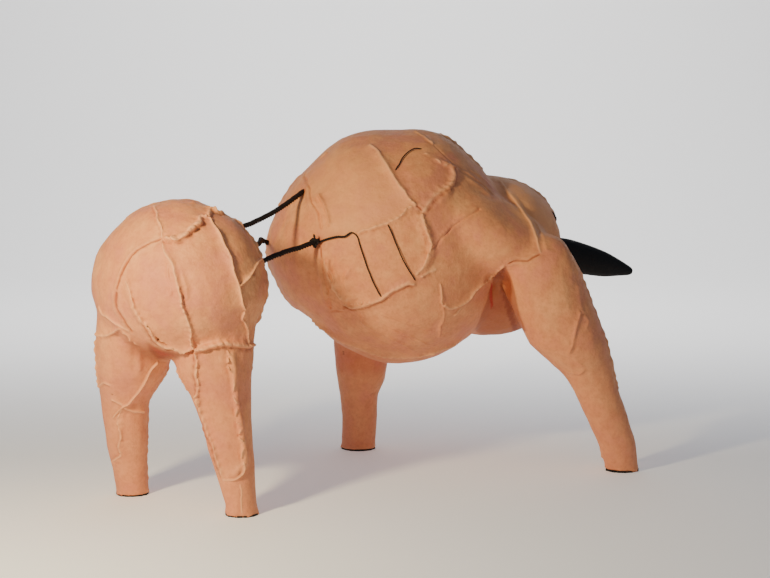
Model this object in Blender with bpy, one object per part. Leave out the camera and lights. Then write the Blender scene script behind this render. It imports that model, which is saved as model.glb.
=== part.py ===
"""Abstract animal sculpture: two stitched, skin-coloured bodies on four legs.

A dome on two legs stands in front, and a ball with a rump stands behind it on
two more. Three black cords lace the bodies together, black stitches close the
ball's seams, and a black tail is set in the rump. Metres, +Z up, the tail
towards +X, the side that is looked at towards -Y.
"""

import math

import bmesh
import bpy
from mathutils import Matrix, Vector
from mathutils.bvhtree import BVHTree

# Fits and fineness
CLEARANCE = 0.0003
BLEND_VOXEL = 0.0035
BLEND_PASSES = 14
BLEND_FACTOR = 0.5
ELLIPSOID_FINENESS = 5
CURVE_PARTS = 12
MERGE_DISTANCE = 0.0001
BORE_RUN_OUT = 0.003
BORE_SIDES = 14
# How far outside the bodies a hidden seam is thrown from
THROW_FROM = 1.0
DOME_BASE_TRIANGLES = 1300
DOME_TRIANGLES = 2700
BALL_BASE_TRIANGLES = 2400
BALL_TRIANGLES = 3900

# The view that the front seams are drawn on: a viewer's eye, in metres, and
# the drawing's own grid, in which a point is (across, down)
EYE = Vector((0.007, -2.17, 0.457))
EYE_PITCH = math.radians(6.0)
GRID_PER_RADIAN = 1818.0
GRID_CENTRE = (385.0, 289.0)

# Ball
BALL_CENTRE = Vector((0.015, 0.100, 0.273))
BALL_RADIUS = 0.148
BALL_DEPTH_SHARE = 0.97
# How far the ball stands out of round, every 22.5 degrees from +X upwards
BALL_OUTLINE = (1.00, 1.01, 1.00, 1.03, 0.98, 1.00, 0.965, 1.00,
                1.065, 1.01, 0.915, 0.95, 1.00, 1.01, 1.01, 0.965)

# Haunch, rump and thigh joint, each an ellipsoid: centre and half sizes
HAUNCH_CENTRE = Vector((0.114, 0.066, 0.298))
HAUNCH_HALF = Vector((0.114, 0.088, 0.050))
HAUNCH_TILT = math.radians(25.0)
RUMP_CENTRE = Vector((0.139, 0.140, 0.257))
RUMP_HALF = Vector((0.1005, 0.092, 0.1025))
THIGH_CENTRE = Vector((0.1965, 0.030, 0.243))
THIGH_HALF = Vector((0.050, 0.048, 0.052))

# Dome
DOME_CENTRE = Vector((-0.223, -0.148, 0.246))
DOME_HALF = Vector((0.106, 0.088, 0.098))
DOME_TURN = math.radians(-38.0)
DOME_OUTLINE = (1.01, 1.00, 1.02, 1.00, 1.01, 1.00, 0.99, 1.03,
                1.02, 0.97, 0.90, 0.84, 0.80, 0.84, 0.89, 0.95)

# Legs: foot (x, y), then stations (height, x, y, half width)
LEG_LEFT = (
    (0.000, -0.286, -0.094, 0.0190),
    (0.038, -0.288, -0.103, 0.0210),
    (0.056, -0.2893, -0.107, 0.0235),
    (0.084, -0.290, -0.113, 0.0260),
    (0.113, -0.2895, -0.120, 0.0280),
    (0.132, -0.2845, -0.124, 0.0350),
    (0.148, -0.2795, -0.128, 0.0405),
    (0.174, -0.276, -0.134, 0.0440),
    (0.205, -0.274, -0.140, 0.0440),
    (0.240, -0.270, -0.142, 0.0440),
)
LEG_RIGHT = (
    (0.000, -0.1505, -0.201, 0.0185),
    (0.012, -0.152, -0.1995, 0.0178),
    (0.036, -0.1565, -0.197, 0.0210),
    (0.052, -0.1595, -0.194, 0.0232),
    (0.075, -0.1635, -0.190, 0.0263),
    (0.090, -0.1657, -0.188, 0.0270),
    (0.114, -0.1715, -0.184, 0.0310),
    (0.129, -0.174, -0.182, 0.0338),
    (0.155, -0.1815, -0.177, 0.0415),
    (0.185, -0.184, -0.172, 0.0465),
    (0.220, -0.184, -0.168, 0.0480),
)
LEG_FAR = (
    (0.000, -0.028, 0.181, 0.0224),
    (0.031, -0.0267, 0.178, 0.0232),
    (0.052, -0.026, 0.176, 0.0242),
    (0.072, -0.0275, 0.174, 0.0248),
    (0.092, -0.024, 0.1715, 0.0315),
    (0.112, -0.024, 0.169, 0.0345),
    (0.138, -0.023, 0.166, 0.0375),
    (0.175, -0.020, 0.160, 0.0400),
)
LEG_HIND = (
    (0.000, 0.3005, 0.040, 0.0206),
    (0.038, 0.2915, 0.038, 0.0243),
    (0.076, 0.276, 0.036, 0.0266),
    (0.100, 0.266, 0.036, 0.0288),
    (0.119, 0.2573, 0.035, 0.0315),
    (0.138, 0.245, 0.034, 0.0400),
    (0.157, 0.2315, 0.033, 0.0485),
    (0.188, 0.2183, 0.032, 0.0505),
    (0.212, 0.2085, 0.031, 0.0505),
    (0.235, 0.202, 0.030, 0.0480),
)
LEG_SIDES = 20
LEG_BELOW_FLOOR = 0.012
HIND_DEPTH_SHARE = 0.93

# Soles
SOLE_THICKNESS = 0.002
SOLE_LIP = 0.0006

# Welts: the pinched seams that stand up from the skin
WELT_ROOT = 0.0030
THICK_WELT = (0.0095, 0.0038)
THIN_WELT = (0.0062, 0.0022)
WELT_STEP = 13.0
HIDDEN_WELT_STEP = 0.014
# Shares of a welt's width at its root and on its crest, to either side
WELT_FOOT_SHARE = 0.50
WELT_CREST_SHARE = 0.24
# How a welt thins and sinks at its ends, and how it swells between stitches
WELT_END_SHARE = 0.45
WELT_END_SINK = 0.6
WELT_SWELL = 0.12

# Front seams of the dome and its legs, drawn on the eye's grid
DOME_CROWN = ((155, 207), (159, 222), (162, 239))
DOME_LEFT = ((162, 239), (142, 247), (126, 264), (119, 281), (115, 306), (133, 333))
DOME_MIDDLE = ((162, 239), (172, 262), (182, 305), (191, 338), (194, 350))
DOME_BROW = ((162, 239), (180, 238), (199, 224), (208, 217), (223, 214))
DOME_RIGHT = ((208, 217), (223, 245), (239, 287), (245, 312), (248, 345))
DOME_SIDE = ((239, 287), (252, 272), (262, 259))
SEAT_LEFT = ((126, 280), (134, 306), (147, 328), (162, 346), (194, 350))
SEAT_RIGHT = ((194, 350), (221, 344), (253, 344))
RIGHT_LEG_INNER = ((194, 350), (196, 386), (206, 427), (216, 461), (222, 480))
RIGHT_LEG_OUTER = ((230, 345), (234, 371), (236, 400), (241, 430), (244, 466), (222, 480))
LEFT_LEG_TOP = ((97, 334), (106, 336), (120, 329), (139, 345))
LEFT_LEG_BRANCH = ((99, 305), (113, 322), (130, 332))
LEFT_LEG_CROSS = ((158, 361), (145, 382), (129, 403), (113, 418))
LEFT_LEG_SHIN = ((123, 407), (120, 434), (119, 449), (113, 462))
LEFT_LEG_KNEE = ((110, 398), (126, 409), (145, 411))

# Front seams of the ball, haunch and hind leg
HIP_SEAM = ((502, 183), (518, 205), (534, 231), (540, 254))
HIP_UNDER = ((540, 254), (527, 261), (508, 263))
SHOULDER_SEAM = ((480, 210), (457, 224), (434, 247))
BALL_CREST = ((431, 158), (454, 168), (451, 184), (442, 200), (428, 205))
BALL_TO_HIP = ((454, 168), (469, 179), (494, 197))
BALL_DIAGONAL = ((369, 145), (385, 163), (399, 186), (417, 206))
PANEL_TOP = ((417, 206), (402, 216), (388, 223), (364, 231))
PANEL_RIGHT = ((417, 206), (424, 226), (431, 245), (428, 262), (415, 276))
PANEL_BOTTOM = ((414, 286), (402, 288), (382, 301), (358, 309), (330, 311))
BELLY_SEAM = ((362, 311), (360, 321), (376, 331), (414, 351))
FLANK_SEAM = ((440, 283), (443, 305), (462, 305), (479, 286), (487, 270))
FLANK_DROP = ((443, 305), (442, 325), (439, 338))
PANEL_LEFT = ((304, 174), (312, 202), (320, 228))
PANEL_LEFT_LOW = ((321, 254), (323, 270), (327, 290), (330, 311))
THIGH_FOLD = ((554, 354), (570, 366), (582, 375))
THIGH_WRINKLE = ((582, 310), (577, 324), (571, 345))

# Hidden seams: (degrees round from +X, degrees up) about the body's centre
DOME_BACK_SEAMS = (
    ((60, 70), (58, 40), (62, 5), (60, -25)),
    ((5, 20), (35, 28), (60, 22), (95, 30), (130, 18)),
    ((20, -18), (60, -22), (100, -18)),
)
BALL_BACK_SEAMS = (
    ((100, 72), (95, 45), (88, 15), (92, -15), (100, -38)),
    ((45, 40), (70, 34), (90, 38), (125, 30), (165, 34)),
    ((60, -5), (90, -8), (130, -12), (170, -4)),
    ((200, -40), (235, -55), (290, -62), (330, -48)),
)
# Hidden seams of the legs, seen from behind: (x, z)
LEG_BACK_SEAMS = {
    "dome_body": (
        ((-0.289, 0.030), (-0.285, 0.070), (-0.290, 0.110), (-0.283, 0.150)),
        ((-0.156, 0.030), (-0.161, 0.070), (-0.168, 0.110), (-0.180, 0.150)),
    ),
    "ball_body": (
        ((-0.028, 0.025), (-0.024, 0.060), (-0.029, 0.100), (-0.022, 0.135)),
        ((0.295, 0.030), (0.278, 0.070), (0.264, 0.110), (0.242, 0.150)),
        ((0.207, 0.205), (0.172, 0.190), (0.132, 0.180)),
    ),
}

# Cords that lace the two bodies together, each from inside the dome to inside
# the ball; the first and the last stretch are straight and run into a bored hole
CORD_RADIUS = 0.003
BEVEL_PARTS = 2
CORD_ROUTES = {
    "cord_upper": (
        (-0.168, -0.1250, 0.3070), (-0.1604, -0.1092, 0.3092), (-0.1552, -0.0974, 0.3108),
        (-0.1498, -0.0856, 0.3124), (-0.1446, -0.0738, 0.3140), (-0.1392, -0.0622, 0.3160),
        (-0.1338, -0.0506, 0.3184), (-0.1282, -0.0392, 0.3210), (-0.1226, -0.0278, 0.3240),
        (-0.1172, -0.0164, 0.3272), (-0.1116, -0.0052, 0.3306), (-0.106, 0.0060, 0.3344),
        (-0.1002, 0.0170, 0.3384), (-0.095, 0.0284, 0.3418), (-0.0876, 0.0440, 0.3470),
    ),
    "cord_lower": (
        (-0.145, -0.1274, 0.2656), (-0.136, -0.1126, 0.2700), (-0.1288, -0.1010, 0.2732),
        (-0.1212, -0.0896, 0.2760), (-0.1134, -0.0782, 0.2782), (-0.1062, -0.0664, 0.2800),
        (-0.0988, -0.0546, 0.2814), (-0.091, -0.0430, 0.2828), (-0.0828, -0.0320, 0.2852),
        (-0.0664, -0.0070, 0.2890),
    ),
    "cord_middle": (
        (-0.165, -0.1076, 0.2830), (-0.1564, -0.0912, 0.2830), (-0.1504, -0.0796, 0.2834),
        (-0.1482, -0.0664, 0.2838), (-0.1466, -0.0530, 0.2838), (-0.1454, -0.0398, 0.2840),
        (-0.1448, -0.0264, 0.2840), (-0.1442, -0.0130, 0.2838), (-0.144, 0.0002, 0.2836),
        (-0.144, 0.0136, 0.2836), (-0.1442, 0.0270, 0.2836), (-0.1446, 0.0404, 0.2838),
        (-0.1452, 0.0536, 0.2842), (-0.1426, 0.0664, 0.2816), (-0.1296, 0.0766, 0.2732),
    ),
}

# Knot where the lower cord meets the ball
KNOT_HALF = Vector((0.0060, 0.0060, 0.0050))
KNOT_TAIL_AHEAD = 0.0015
KNOT_TAIL_SUNK = 0.0010
KNOT_FROM_CORD_END = 0.0188
KNOT_TAIL_RADIUS = 0.0016
KNOT_TAIL_LENGTH = 0.0062
KNOT_TAIL_TAPER = 0.8
KNOT_TAIL_SIDES = 10
KNOT_FINENESS = 2

# Thin lace and stitches on the ball; the ends slope down into bored holes
LACE_RADIUS = 0.0013
LACE_ROUTES = {
    "lace": (
        (-0.0711, -0.0227, 0.2872), (-0.0676, -0.0222, 0.2886), (-0.0586, -0.0258, 0.2918),
        (-0.0496, -0.0296, 0.2940), (-0.0404, -0.0336, 0.2946), (-0.0324, -0.0356, 0.2994),
        (-0.0258, -0.0378, 0.2950), (-0.023, -0.0398, 0.2864), (-0.0202, -0.0412, 0.2776),
        (-0.0172, -0.0422, 0.2688), (-0.0144, -0.0420, 0.2602), (-0.011, -0.0410, 0.2514),
        (-0.0076, -0.0402, 0.2428), (-0.0036, -0.0386, 0.2344), (0.0008, -0.0366, 0.2260),
        (0.0074, -0.0282, 0.2170),
    ),
    "stitch_right": (
        (0.0068, -0.0322, 0.3166), (0.0114, -0.0412, 0.3070), (0.0154, -0.0432, 0.2982),
        (0.0188, -0.0444, 0.2896), (0.0226, -0.0450, 0.2806), (0.0262, -0.0454, 0.2720),
        (0.0304, -0.0444, 0.2636), (0.0354, -0.0430, 0.2550), (0.0404, -0.0410, 0.2470),
        (0.0456, -0.0324, 0.2374),
    ),
    "stitch_top": (
        (0.015, -0.0086, 0.3612), (0.0206, -0.0058, 0.3738), (0.0242, -0.0010, 0.3788),
        (0.0264, 0.0034, 0.3834), (0.0298, 0.0092, 0.3880), (0.034, 0.0142, 0.3920),
        (0.0388, 0.0180, 0.3950), (0.0444, 0.0204, 0.3968), (0.0554, 0.0288, 0.3948),
    ),
    "stitch_rump": (
        (0.2118, 0.1190, 0.3180), (0.2222, 0.1172, 0.3122), (0.2248, 0.1172, 0.3086),
        (0.227, 0.1172, 0.3046), (0.2272, 0.1190, 0.2926),
    ),
}

# Tail: its root stands in a socket in the rump
TAIL_ROOT = Vector((0.229, 0.1460, 0.2600))
TAIL_TIP = Vector((0.3235, 0.1650, 0.2375))
TAIL_SIDES = 20
# (share of the way to the tip, half height, half width)
TAIL_STATIONS = (
    (0.00, 0.0200, 0.0165),
    (0.10, 0.0212, 0.0170),
    (0.29, 0.0200, 0.0158),
    (0.46, 0.0184, 0.0142),
    (0.61, 0.0158, 0.0122),
    (0.70, 0.0128, 0.0104),
    (0.81, 0.0090, 0.0078),
    (0.90, 0.0058, 0.0052),
    (0.98, 0.0028, 0.0026),
    (1.00, 0.0014, 0.0014),
)

# Finishes: (colour, roughness)
FINISHES = {
    "skin": ((0.70, 0.42, 0.28), 0.62),
    "black_leather": ((0.012, 0.011, 0.011), 0.75),
    "black_cord": ((0.016, 0.013, 0.012), 0.85),
}


def clear_scene():
    """Empty the scene before anything is built."""
    for item in list(bpy.data.objects):
        bpy.data.objects.remove(item, do_unlink=True)


def shade_round(obj):
    """Shade a round piece smooth."""
    for face in obj.data.polygons:
        face.use_smooth = True


def finish(obj, name):
    """Give an object one of the named finishes."""
    material = bpy.data.materials.get(name)
    if material is None:
        colour, roughness = FINISHES[name]
        material = bpy.data.materials.new(name)
        material.use_nodes = True
        shader = material.node_tree.nodes["Principled BSDF"]
        shader.inputs["Base Color"].default_value = (*colour, 1.0)
        shader.inputs["Roughness"].default_value = roughness
        material.diffuse_color = (*colour, 1.0)
    obj.data.materials.clear()
    obj.data.materials.append(material)


def new_object(name, bm):
    """Turn a bmesh into an object of the scene."""
    mesh = bpy.data.meshes.new(name)
    bmesh.ops.recalc_face_normals(bm, faces=bm.faces)
    bm.to_mesh(mesh)
    bm.free()
    obj = bpy.data.objects.new(name, mesh)
    bpy.context.scene.collection.objects.link(obj)
    return obj


def apply_modifier(obj, kind, **settings):
    """Add a modifier, set it and apply it."""
    modifier = obj.modifiers.new(kind.title(), kind)
    for key, value in settings.items():
        setattr(modifier, key, value)
    bpy.ops.object.select_all(action="DESELECT")
    bpy.context.view_layer.objects.active = obj
    obj.select_set(True)
    bpy.ops.object.modifier_apply(modifier=modifier.name)


def out_of_round(outline, angle):
    """Read a closed outline's share at an angle, smoothly between its marks."""
    place = (angle / math.tau * len(outline)) % len(outline)
    before = int(place)
    after = (before + 1) % len(outline)
    blend = 0.5 - 0.5 * math.cos((place - before) * math.pi)
    return outline[before] * (1.0 - blend) + outline[after] * blend


def add_ellipsoid(bm, centre, half, turn=None, outline=None):
    """Add a closed ellipsoid, with a side outline that may be out of round."""
    made = bmesh.ops.create_icosphere(bm, subdivisions=ELLIPSOID_FINENESS, radius=1.0)
    for vert in made["verts"]:
        point = vert.co.copy()
        flat = math.hypot(point.x, point.z)
        if outline:
            share = out_of_round(outline, math.atan2(point.z, point.x))
            point *= 1.0 + (share - 1.0) * flat * flat
        point = Vector((point.x * half.x, point.y * half.y, point.z * half.z))
        if turn:
            point = turn @ point
        vert.co = centre + point


def add_leg(bm, stations, depth_share=1.0):
    """Add a leg as level rings, from below the floor up into the body."""
    height, foot_x, foot_y, foot_half = stations[0]
    levels = ((height - LEG_BELOW_FLOOR, foot_x, foot_y, foot_half),) + stations
    rings = []
    for level, x, y, half in levels:
        ring = []
        for side in range(LEG_SIDES):
            angle = math.tau * side / LEG_SIDES
            across = half * math.cos(angle)
            along = half * depth_share * math.sin(angle)
            ring.append(bm.verts.new((x + across, y + along, level)))
        rings.append(ring)
    close_rings(bm, rings)


def close_rings(bm, rings):
    """Skin a row of rings and close both ends."""
    count = len(rings[0])
    for low, high in zip(rings, rings[1:]):
        for side in range(count):
            after = (side + 1) % count
            bm.faces.new((low[side], low[after], high[after], high[side]))
    bm.faces.new(tuple(reversed(rings[0])))
    bm.faces.new(tuple(rings[-1]))


def triangle_count(body):
    """Count the triangles that a body's faces make."""
    return sum(len(face.vertices) - 2 for face in body.data.polygons)


def thin_out(body, triangles):
    """Collapse a body's faces down to a number of triangles."""
    share = triangles / triangle_count(body)
    apply_modifier(body, "DECIMATE", ratio=share, use_collapse_triangulate=True)


def blended_body(name, bm, triangles):
    """Melt the overlapping forms of a body into one skin and thin it out."""
    body = new_object(name, bm)
    apply_modifier(body, "REMESH", mode="VOXEL", voxel_size=BLEND_VOXEL)
    apply_modifier(body, "SMOOTH", factor=BLEND_FACTOR, iterations=BLEND_PASSES)
    thin_out(body, triangles)
    return body


def cut_level(body, height):
    """Cut the body off level and close the cut."""
    bm = bmesh.new()
    bm.from_mesh(body.data)
    everything = bm.verts[:] + bm.edges[:] + bm.faces[:]
    cut = bmesh.ops.bisect_plane(
        bm, geom=everything, dist=MERGE_DISTANCE,
        plane_co=(0.0, 0.0, height), plane_no=(0.0, 0.0, -1.0), clear_outer=True,
    )
    rim = [item for item in cut["geom_cut"] if isinstance(item, bmesh.types.BMEdge)]
    bmesh.ops.holes_fill(bm, edges=rim, sides=0)
    bmesh.ops.recalc_face_normals(bm, faces=bm.faces)
    bm.to_mesh(body.data)
    bm.free()


def foot_outlines(body, height):
    """Return the outline of each foot, as rings of points at the cut."""
    bm = bmesh.new()
    bm.from_mesh(body.data)
    outlines = []
    for face in bm.faces:
        if len(face.verts) > 4 and abs(face.calc_center_median().z - height) < MERGE_DISTANCE:
            outlines.append([vert.co.copy() for vert in face.verts])
    bm.free()
    return sorted(outlines, key=lambda ring: ring[0].x)


def make_sole(name, outline):
    """Make the black sole under a foot, a little wider than the foot."""
    centre = sum(outline, Vector()) / len(outline)
    bm = bmesh.new()
    rings = []
    for height in (0.0, SOLE_THICKNESS):
        ring = []
        for point in outline:
            out = Vector((point.x - centre.x, point.y - centre.y, 0.0))
            place = point + out.normalized() * SOLE_LIP
            ring.append(bm.verts.new((place.x, place.y, height)))
        rings.append(ring)
    close_rings(bm, rings)
    sole = new_object(name, bm)
    finish(sole, "black_leather")
    return sole


def eye_ray(across, down):
    """Direction from the eye through a point of the drawing."""
    ahead = Vector((0.0, math.cos(EYE_PITCH), -math.sin(EYE_PITCH)))
    up = Vector((0.0, math.sin(EYE_PITCH), math.cos(EYE_PITCH)))
    right = Vector((1.0, 0.0, 0.0))
    side = (across - GRID_CENTRE[0]) / GRID_PER_RADIAN
    rise = (GRID_CENTRE[1] - down) / GRID_PER_RADIAN
    return (ahead + right * side + up * rise).normalized()


def smooth_route(points, step):
    """Draw one smooth curve through points and mark it off in even steps."""
    points = [Vector(point) for point in points]
    ends = [points[0] * 2 - points[1]] + points + [points[-1] * 2 - points[-2]]
    fine = []
    for first, start, end, last in zip(ends, ends[1:], ends[2:], ends[3:]):
        for part in range(CURVE_PARTS):
            t = part / CURVE_PARTS
            bend = (2 * start) + (end - first) * t
            bend += (2 * first - 5 * start + 4 * end - last) * t ** 2
            bend += (3 * start - first - 3 * end + last) * t ** 3
            fine.append(bend * 0.5)
    fine.append(points[-1])
    lengths = [0.0]
    for before, after in zip(fine, fine[1:]):
        lengths.append(lengths[-1] + (after - before).length)
    count = max(2, round(lengths[-1] / step))
    route = []
    place = 0
    for mark in range(count + 1):
        reach = lengths[-1] * mark / count
        while place < len(lengths) - 2 and lengths[place + 1] < reach:
            place += 1
        span = max(lengths[place + 1] - lengths[place], 1e-9)
        route.append(fine[place].lerp(fine[place + 1], (reach - lengths[place]) / span))
    return route


def front_points(tree, drawing):
    """Throw a drawn seam from the eye onto the body: points and normals."""
    found = []
    flat = [(across, down, 0.0) for across, down in drawing]
    for mark in smooth_route(flat, WELT_STEP):
        hit, normal, _, _ = tree.ray_cast(EYE, eye_ray(mark.x, mark.y))
        if hit is not None:
            found.append((hit, normal))
    return found


def centre_points(tree, centre, angles):
    """Throw a seam, given by angles about a centre, onto the body from outside."""
    marks = []
    for round_angle, up_angle in angles:
        flat = math.cos(math.radians(up_angle))
        marks.append(Vector((
            flat * math.cos(math.radians(round_angle)),
            flat * math.sin(math.radians(round_angle)),
            math.sin(math.radians(up_angle)),
        )))
    step = HIDDEN_WELT_STEP / BALL_RADIUS
    found = []
    for mark in smooth_route(marks, step):
        outward = mark.normalized()
        hit, normal, _, _ = tree.ray_cast(centre + outward * THROW_FROM, -outward)
        if hit is not None:
            found.append((hit, normal))
    return found


def back_points(tree, marks):
    """Throw a seam, given by (x, z), onto the body from behind."""
    found = []
    for mark in smooth_route([(x, z, 0.0) for x, z in marks], HIDDEN_WELT_STEP):
        behind = Vector((mark.x, THROW_FROM, mark.y))
        hit, normal, _, _ = tree.ray_cast(behind, Vector((0.0, -1.0, 0.0)))
        if hit is not None:
            found.append((hit, normal))
    return found


def welt_object(name, points, size):
    """Make one welt: a low ridge with a flattened top, rooted in the skin."""
    width, height = size
    profile = (
        (-WELT_FOOT_SHARE, -WELT_ROOT), (WELT_FOOT_SHARE, -WELT_ROOT),
        (WELT_CREST_SHARE, height), (-WELT_CREST_SHARE, height),
    )
    bm = bmesh.new()
    rings = []
    last = len(points) - 1
    for index, (place, normal) in enumerate(points):
        before = points[max(index - 1, 0)][0]
        after = points[min(index + 1, last)][0]
        along = (after - before).normalized()
        side = normal.cross(along).normalized()
        at_end = index in (0, last)
        swell = WELT_END_SHARE if at_end else 1.0 + WELT_SWELL * (-1) ** index
        sink = WELT_END_SINK * height if at_end else 0.0
        ring = []
        for across, rise in profile:
            lift = rise if rise < 0 else rise * swell - sink
            ring.append(bm.verts.new(place + side * across * width * swell + normal * lift))
        rings.append(ring)
    close_rings(bm, rings)
    return new_object(name, bm)


def join_cut(body, tool, operation):
    """Join a tool to the body, or cut it away, and remove the tool."""
    tool.display_type = "WIRE"
    tool.hide_render = True
    apply_modifier(body, "BOOLEAN", object=tool, operation=operation, solver="EXACT")
    bpy.data.objects.remove(tool, do_unlink=True)


def add_welts(body, centre, thick, thin, hidden, behind, triangles):
    """Raise every seam of a body on its skin, then thin the skin out."""
    bm = bmesh.new()
    bm.from_mesh(body.data)
    tree = BVHTree.FromBMesh(bm)
    bm.free()
    routes = [(front_points(tree, seam), THICK_WELT) for seam in thick]
    routes += [(front_points(tree, seam), THIN_WELT) for seam in thin]
    routes += [(centre_points(tree, centre, seam), THIN_WELT) for seam in hidden]
    routes += [(back_points(tree, seam), THIN_WELT) for seam in behind]
    for points, size in routes:
        join_cut(body, welt_object("welt", points, size), "UNION")
    thin_out(body, triangles)


def bore(body, inside, outside, radius):
    """Bore a straight hole from outside the skin to a little past the cord's end."""
    along = (outside - inside).normalized()
    start = inside - along * CLEARANCE
    length = (outside - start).length + BORE_RUN_OUT
    bm = bmesh.new()
    bmesh.ops.create_cone(
        bm, cap_ends=True, segments=BORE_SIDES, radius1=radius, radius2=radius, depth=length,
    )
    turn = along.to_track_quat("Z", "Y").to_matrix().to_4x4()
    shift = Matrix.Translation(start + along * length / 2)
    bmesh.ops.transform(bm, matrix=shift @ turn, verts=bm.verts)
    join_cut(body, new_object("bore", bm), "DIFFERENCE")


def build_dome_body():
    """Build the dome and its two legs as one skin."""
    bm = bmesh.new()
    add_ellipsoid(bm, DOME_CENTRE, DOME_HALF, Matrix.Rotation(DOME_TURN, 3, "Z"), DOME_OUTLINE)
    add_leg(bm, LEG_LEFT)
    add_leg(bm, LEG_RIGHT)
    body = blended_body("dome_body", bm, DOME_BASE_TRIANGLES)
    cut_level(body, SOLE_THICKNESS + CLEARANCE)
    return body


def build_ball_body():
    """Build the ball, haunch, rump and their two legs as one skin."""
    bm = bmesh.new()
    ball_half = Vector((BALL_RADIUS, BALL_RADIUS * BALL_DEPTH_SHARE, BALL_RADIUS))
    add_ellipsoid(bm, BALL_CENTRE, ball_half, None, BALL_OUTLINE)
    add_ellipsoid(bm, HAUNCH_CENTRE, HAUNCH_HALF, Matrix.Rotation(HAUNCH_TILT, 3, "Y"))
    add_ellipsoid(bm, RUMP_CENTRE, RUMP_HALF)
    add_ellipsoid(bm, THIGH_CENTRE, THIGH_HALF)
    add_leg(bm, LEG_FAR)
    add_leg(bm, LEG_HIND, HIND_DEPTH_SHARE)
    body = blended_body("ball_body", bm, BALL_BASE_TRIANGLES)
    cut_level(body, SOLE_THICKNESS + CLEARANCE)
    return body


def build_cord(name, points, radius):
    """Build a cord as one round tube along its route, with closed ends."""
    curve = bpy.data.curves.new(name, "CURVE")
    curve.dimensions = "3D"
    curve.bevel_depth = radius
    curve.bevel_resolution = BEVEL_PARTS
    curve.use_fill_caps = True
    spline = curve.splines.new("POLY")
    spline.points.add(len(points) - 1)
    for mark, place in zip(spline.points, points):
        mark.co = (*place, 1.0)
    cord = bpy.data.objects.new(name, curve)
    bpy.context.scene.collection.objects.link(cord)
    finish(cord, "black_cord")


def bore_ends(body, points, radius, at_start, at_end):
    """Bore the holes that a cord's ends lie in."""
    places = [Vector(point) for point in points]
    if at_start:
        bore(body, places[0], places[1], radius + CLEARANCE)
    if at_end:
        bore(body, places[-1], places[-2], radius + CLEARANCE)


def build_knot():
    """Build the knot round the lower cord, with its short loose end."""
    points = [Vector(point) for point in CORD_ROUTES["cord_lower"]]
    along = (points[-2] - points[-1]).normalized()
    centre = points[-1] + along * KNOT_FROM_CORD_END
    bm = bmesh.new()
    bmesh.ops.create_icosphere(bm, subdivisions=KNOT_FINENESS, radius=1.0)
    turn = along.to_track_quat("Z", "Y").to_matrix().to_4x4()
    size = Matrix.Diagonal((*KNOT_HALF, 1.0))
    bmesh.ops.transform(bm, matrix=Matrix.Translation(centre) @ turn @ size, verts=bm.verts)
    knot = new_object("knot", bm)
    bm = bmesh.new()
    bmesh.ops.create_cone(
        bm, cap_ends=True, segments=KNOT_TAIL_SIDES, radius1=KNOT_TAIL_RADIUS,
        radius2=KNOT_TAIL_RADIUS * KNOT_TAIL_TAPER, depth=KNOT_TAIL_LENGTH,
    )
    rise = KNOT_HALF.y - KNOT_TAIL_SUNK + KNOT_TAIL_LENGTH / 2
    place = centre + Vector((0.0, -KNOT_TAIL_AHEAD, rise))
    bmesh.ops.translate(bm, vec=place, verts=bm.verts)
    join_cut(knot, new_object("loose_end", bm), "UNION")
    reach = along * KNOT_HALF.x * 2
    bore(knot, centre - reach, centre + reach, CORD_RADIUS + CLEARANCE)
    bore_ends(knot, LACE_ROUTES["lace"], LACE_RADIUS, True, False)
    shade_round(knot)
    finish(knot, "black_cord")


def tail_object(name, grow):
    """Make the tail's horn, or the same horn grown on every side."""
    bm = bmesh.new()
    along = (TAIL_TIP - TAIL_ROOT).normalized()
    side = along.cross(Vector((0.0, 0.0, 1.0))).normalized()
    up = side.cross(along)
    rings = []
    for index, (share, half_height, half_width) in enumerate(TAIL_STATIONS):
        centre = TAIL_ROOT.lerp(TAIL_TIP, share)
        if index == 0:
            centre -= along * grow
        ring = []
        for step in range(TAIL_SIDES):
            angle = math.tau * step / TAIL_SIDES
            across = side * (half_width + grow) * math.cos(angle)
            rise = up * (half_height + grow) * math.sin(angle)
            ring.append(bm.verts.new(centre + across + rise))
        rings.append(ring)
    close_rings(bm, rings)
    return new_object(name, bm)


def build_tail(body):
    """Build the black tail and cut its socket in the rump."""
    join_cut(body, tail_object("tail_socket", CLEARANCE), "DIFFERENCE")
    tail = tail_object("tail", 0.0)
    shade_round(tail)
    finish(tail, "black_leather")


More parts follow.
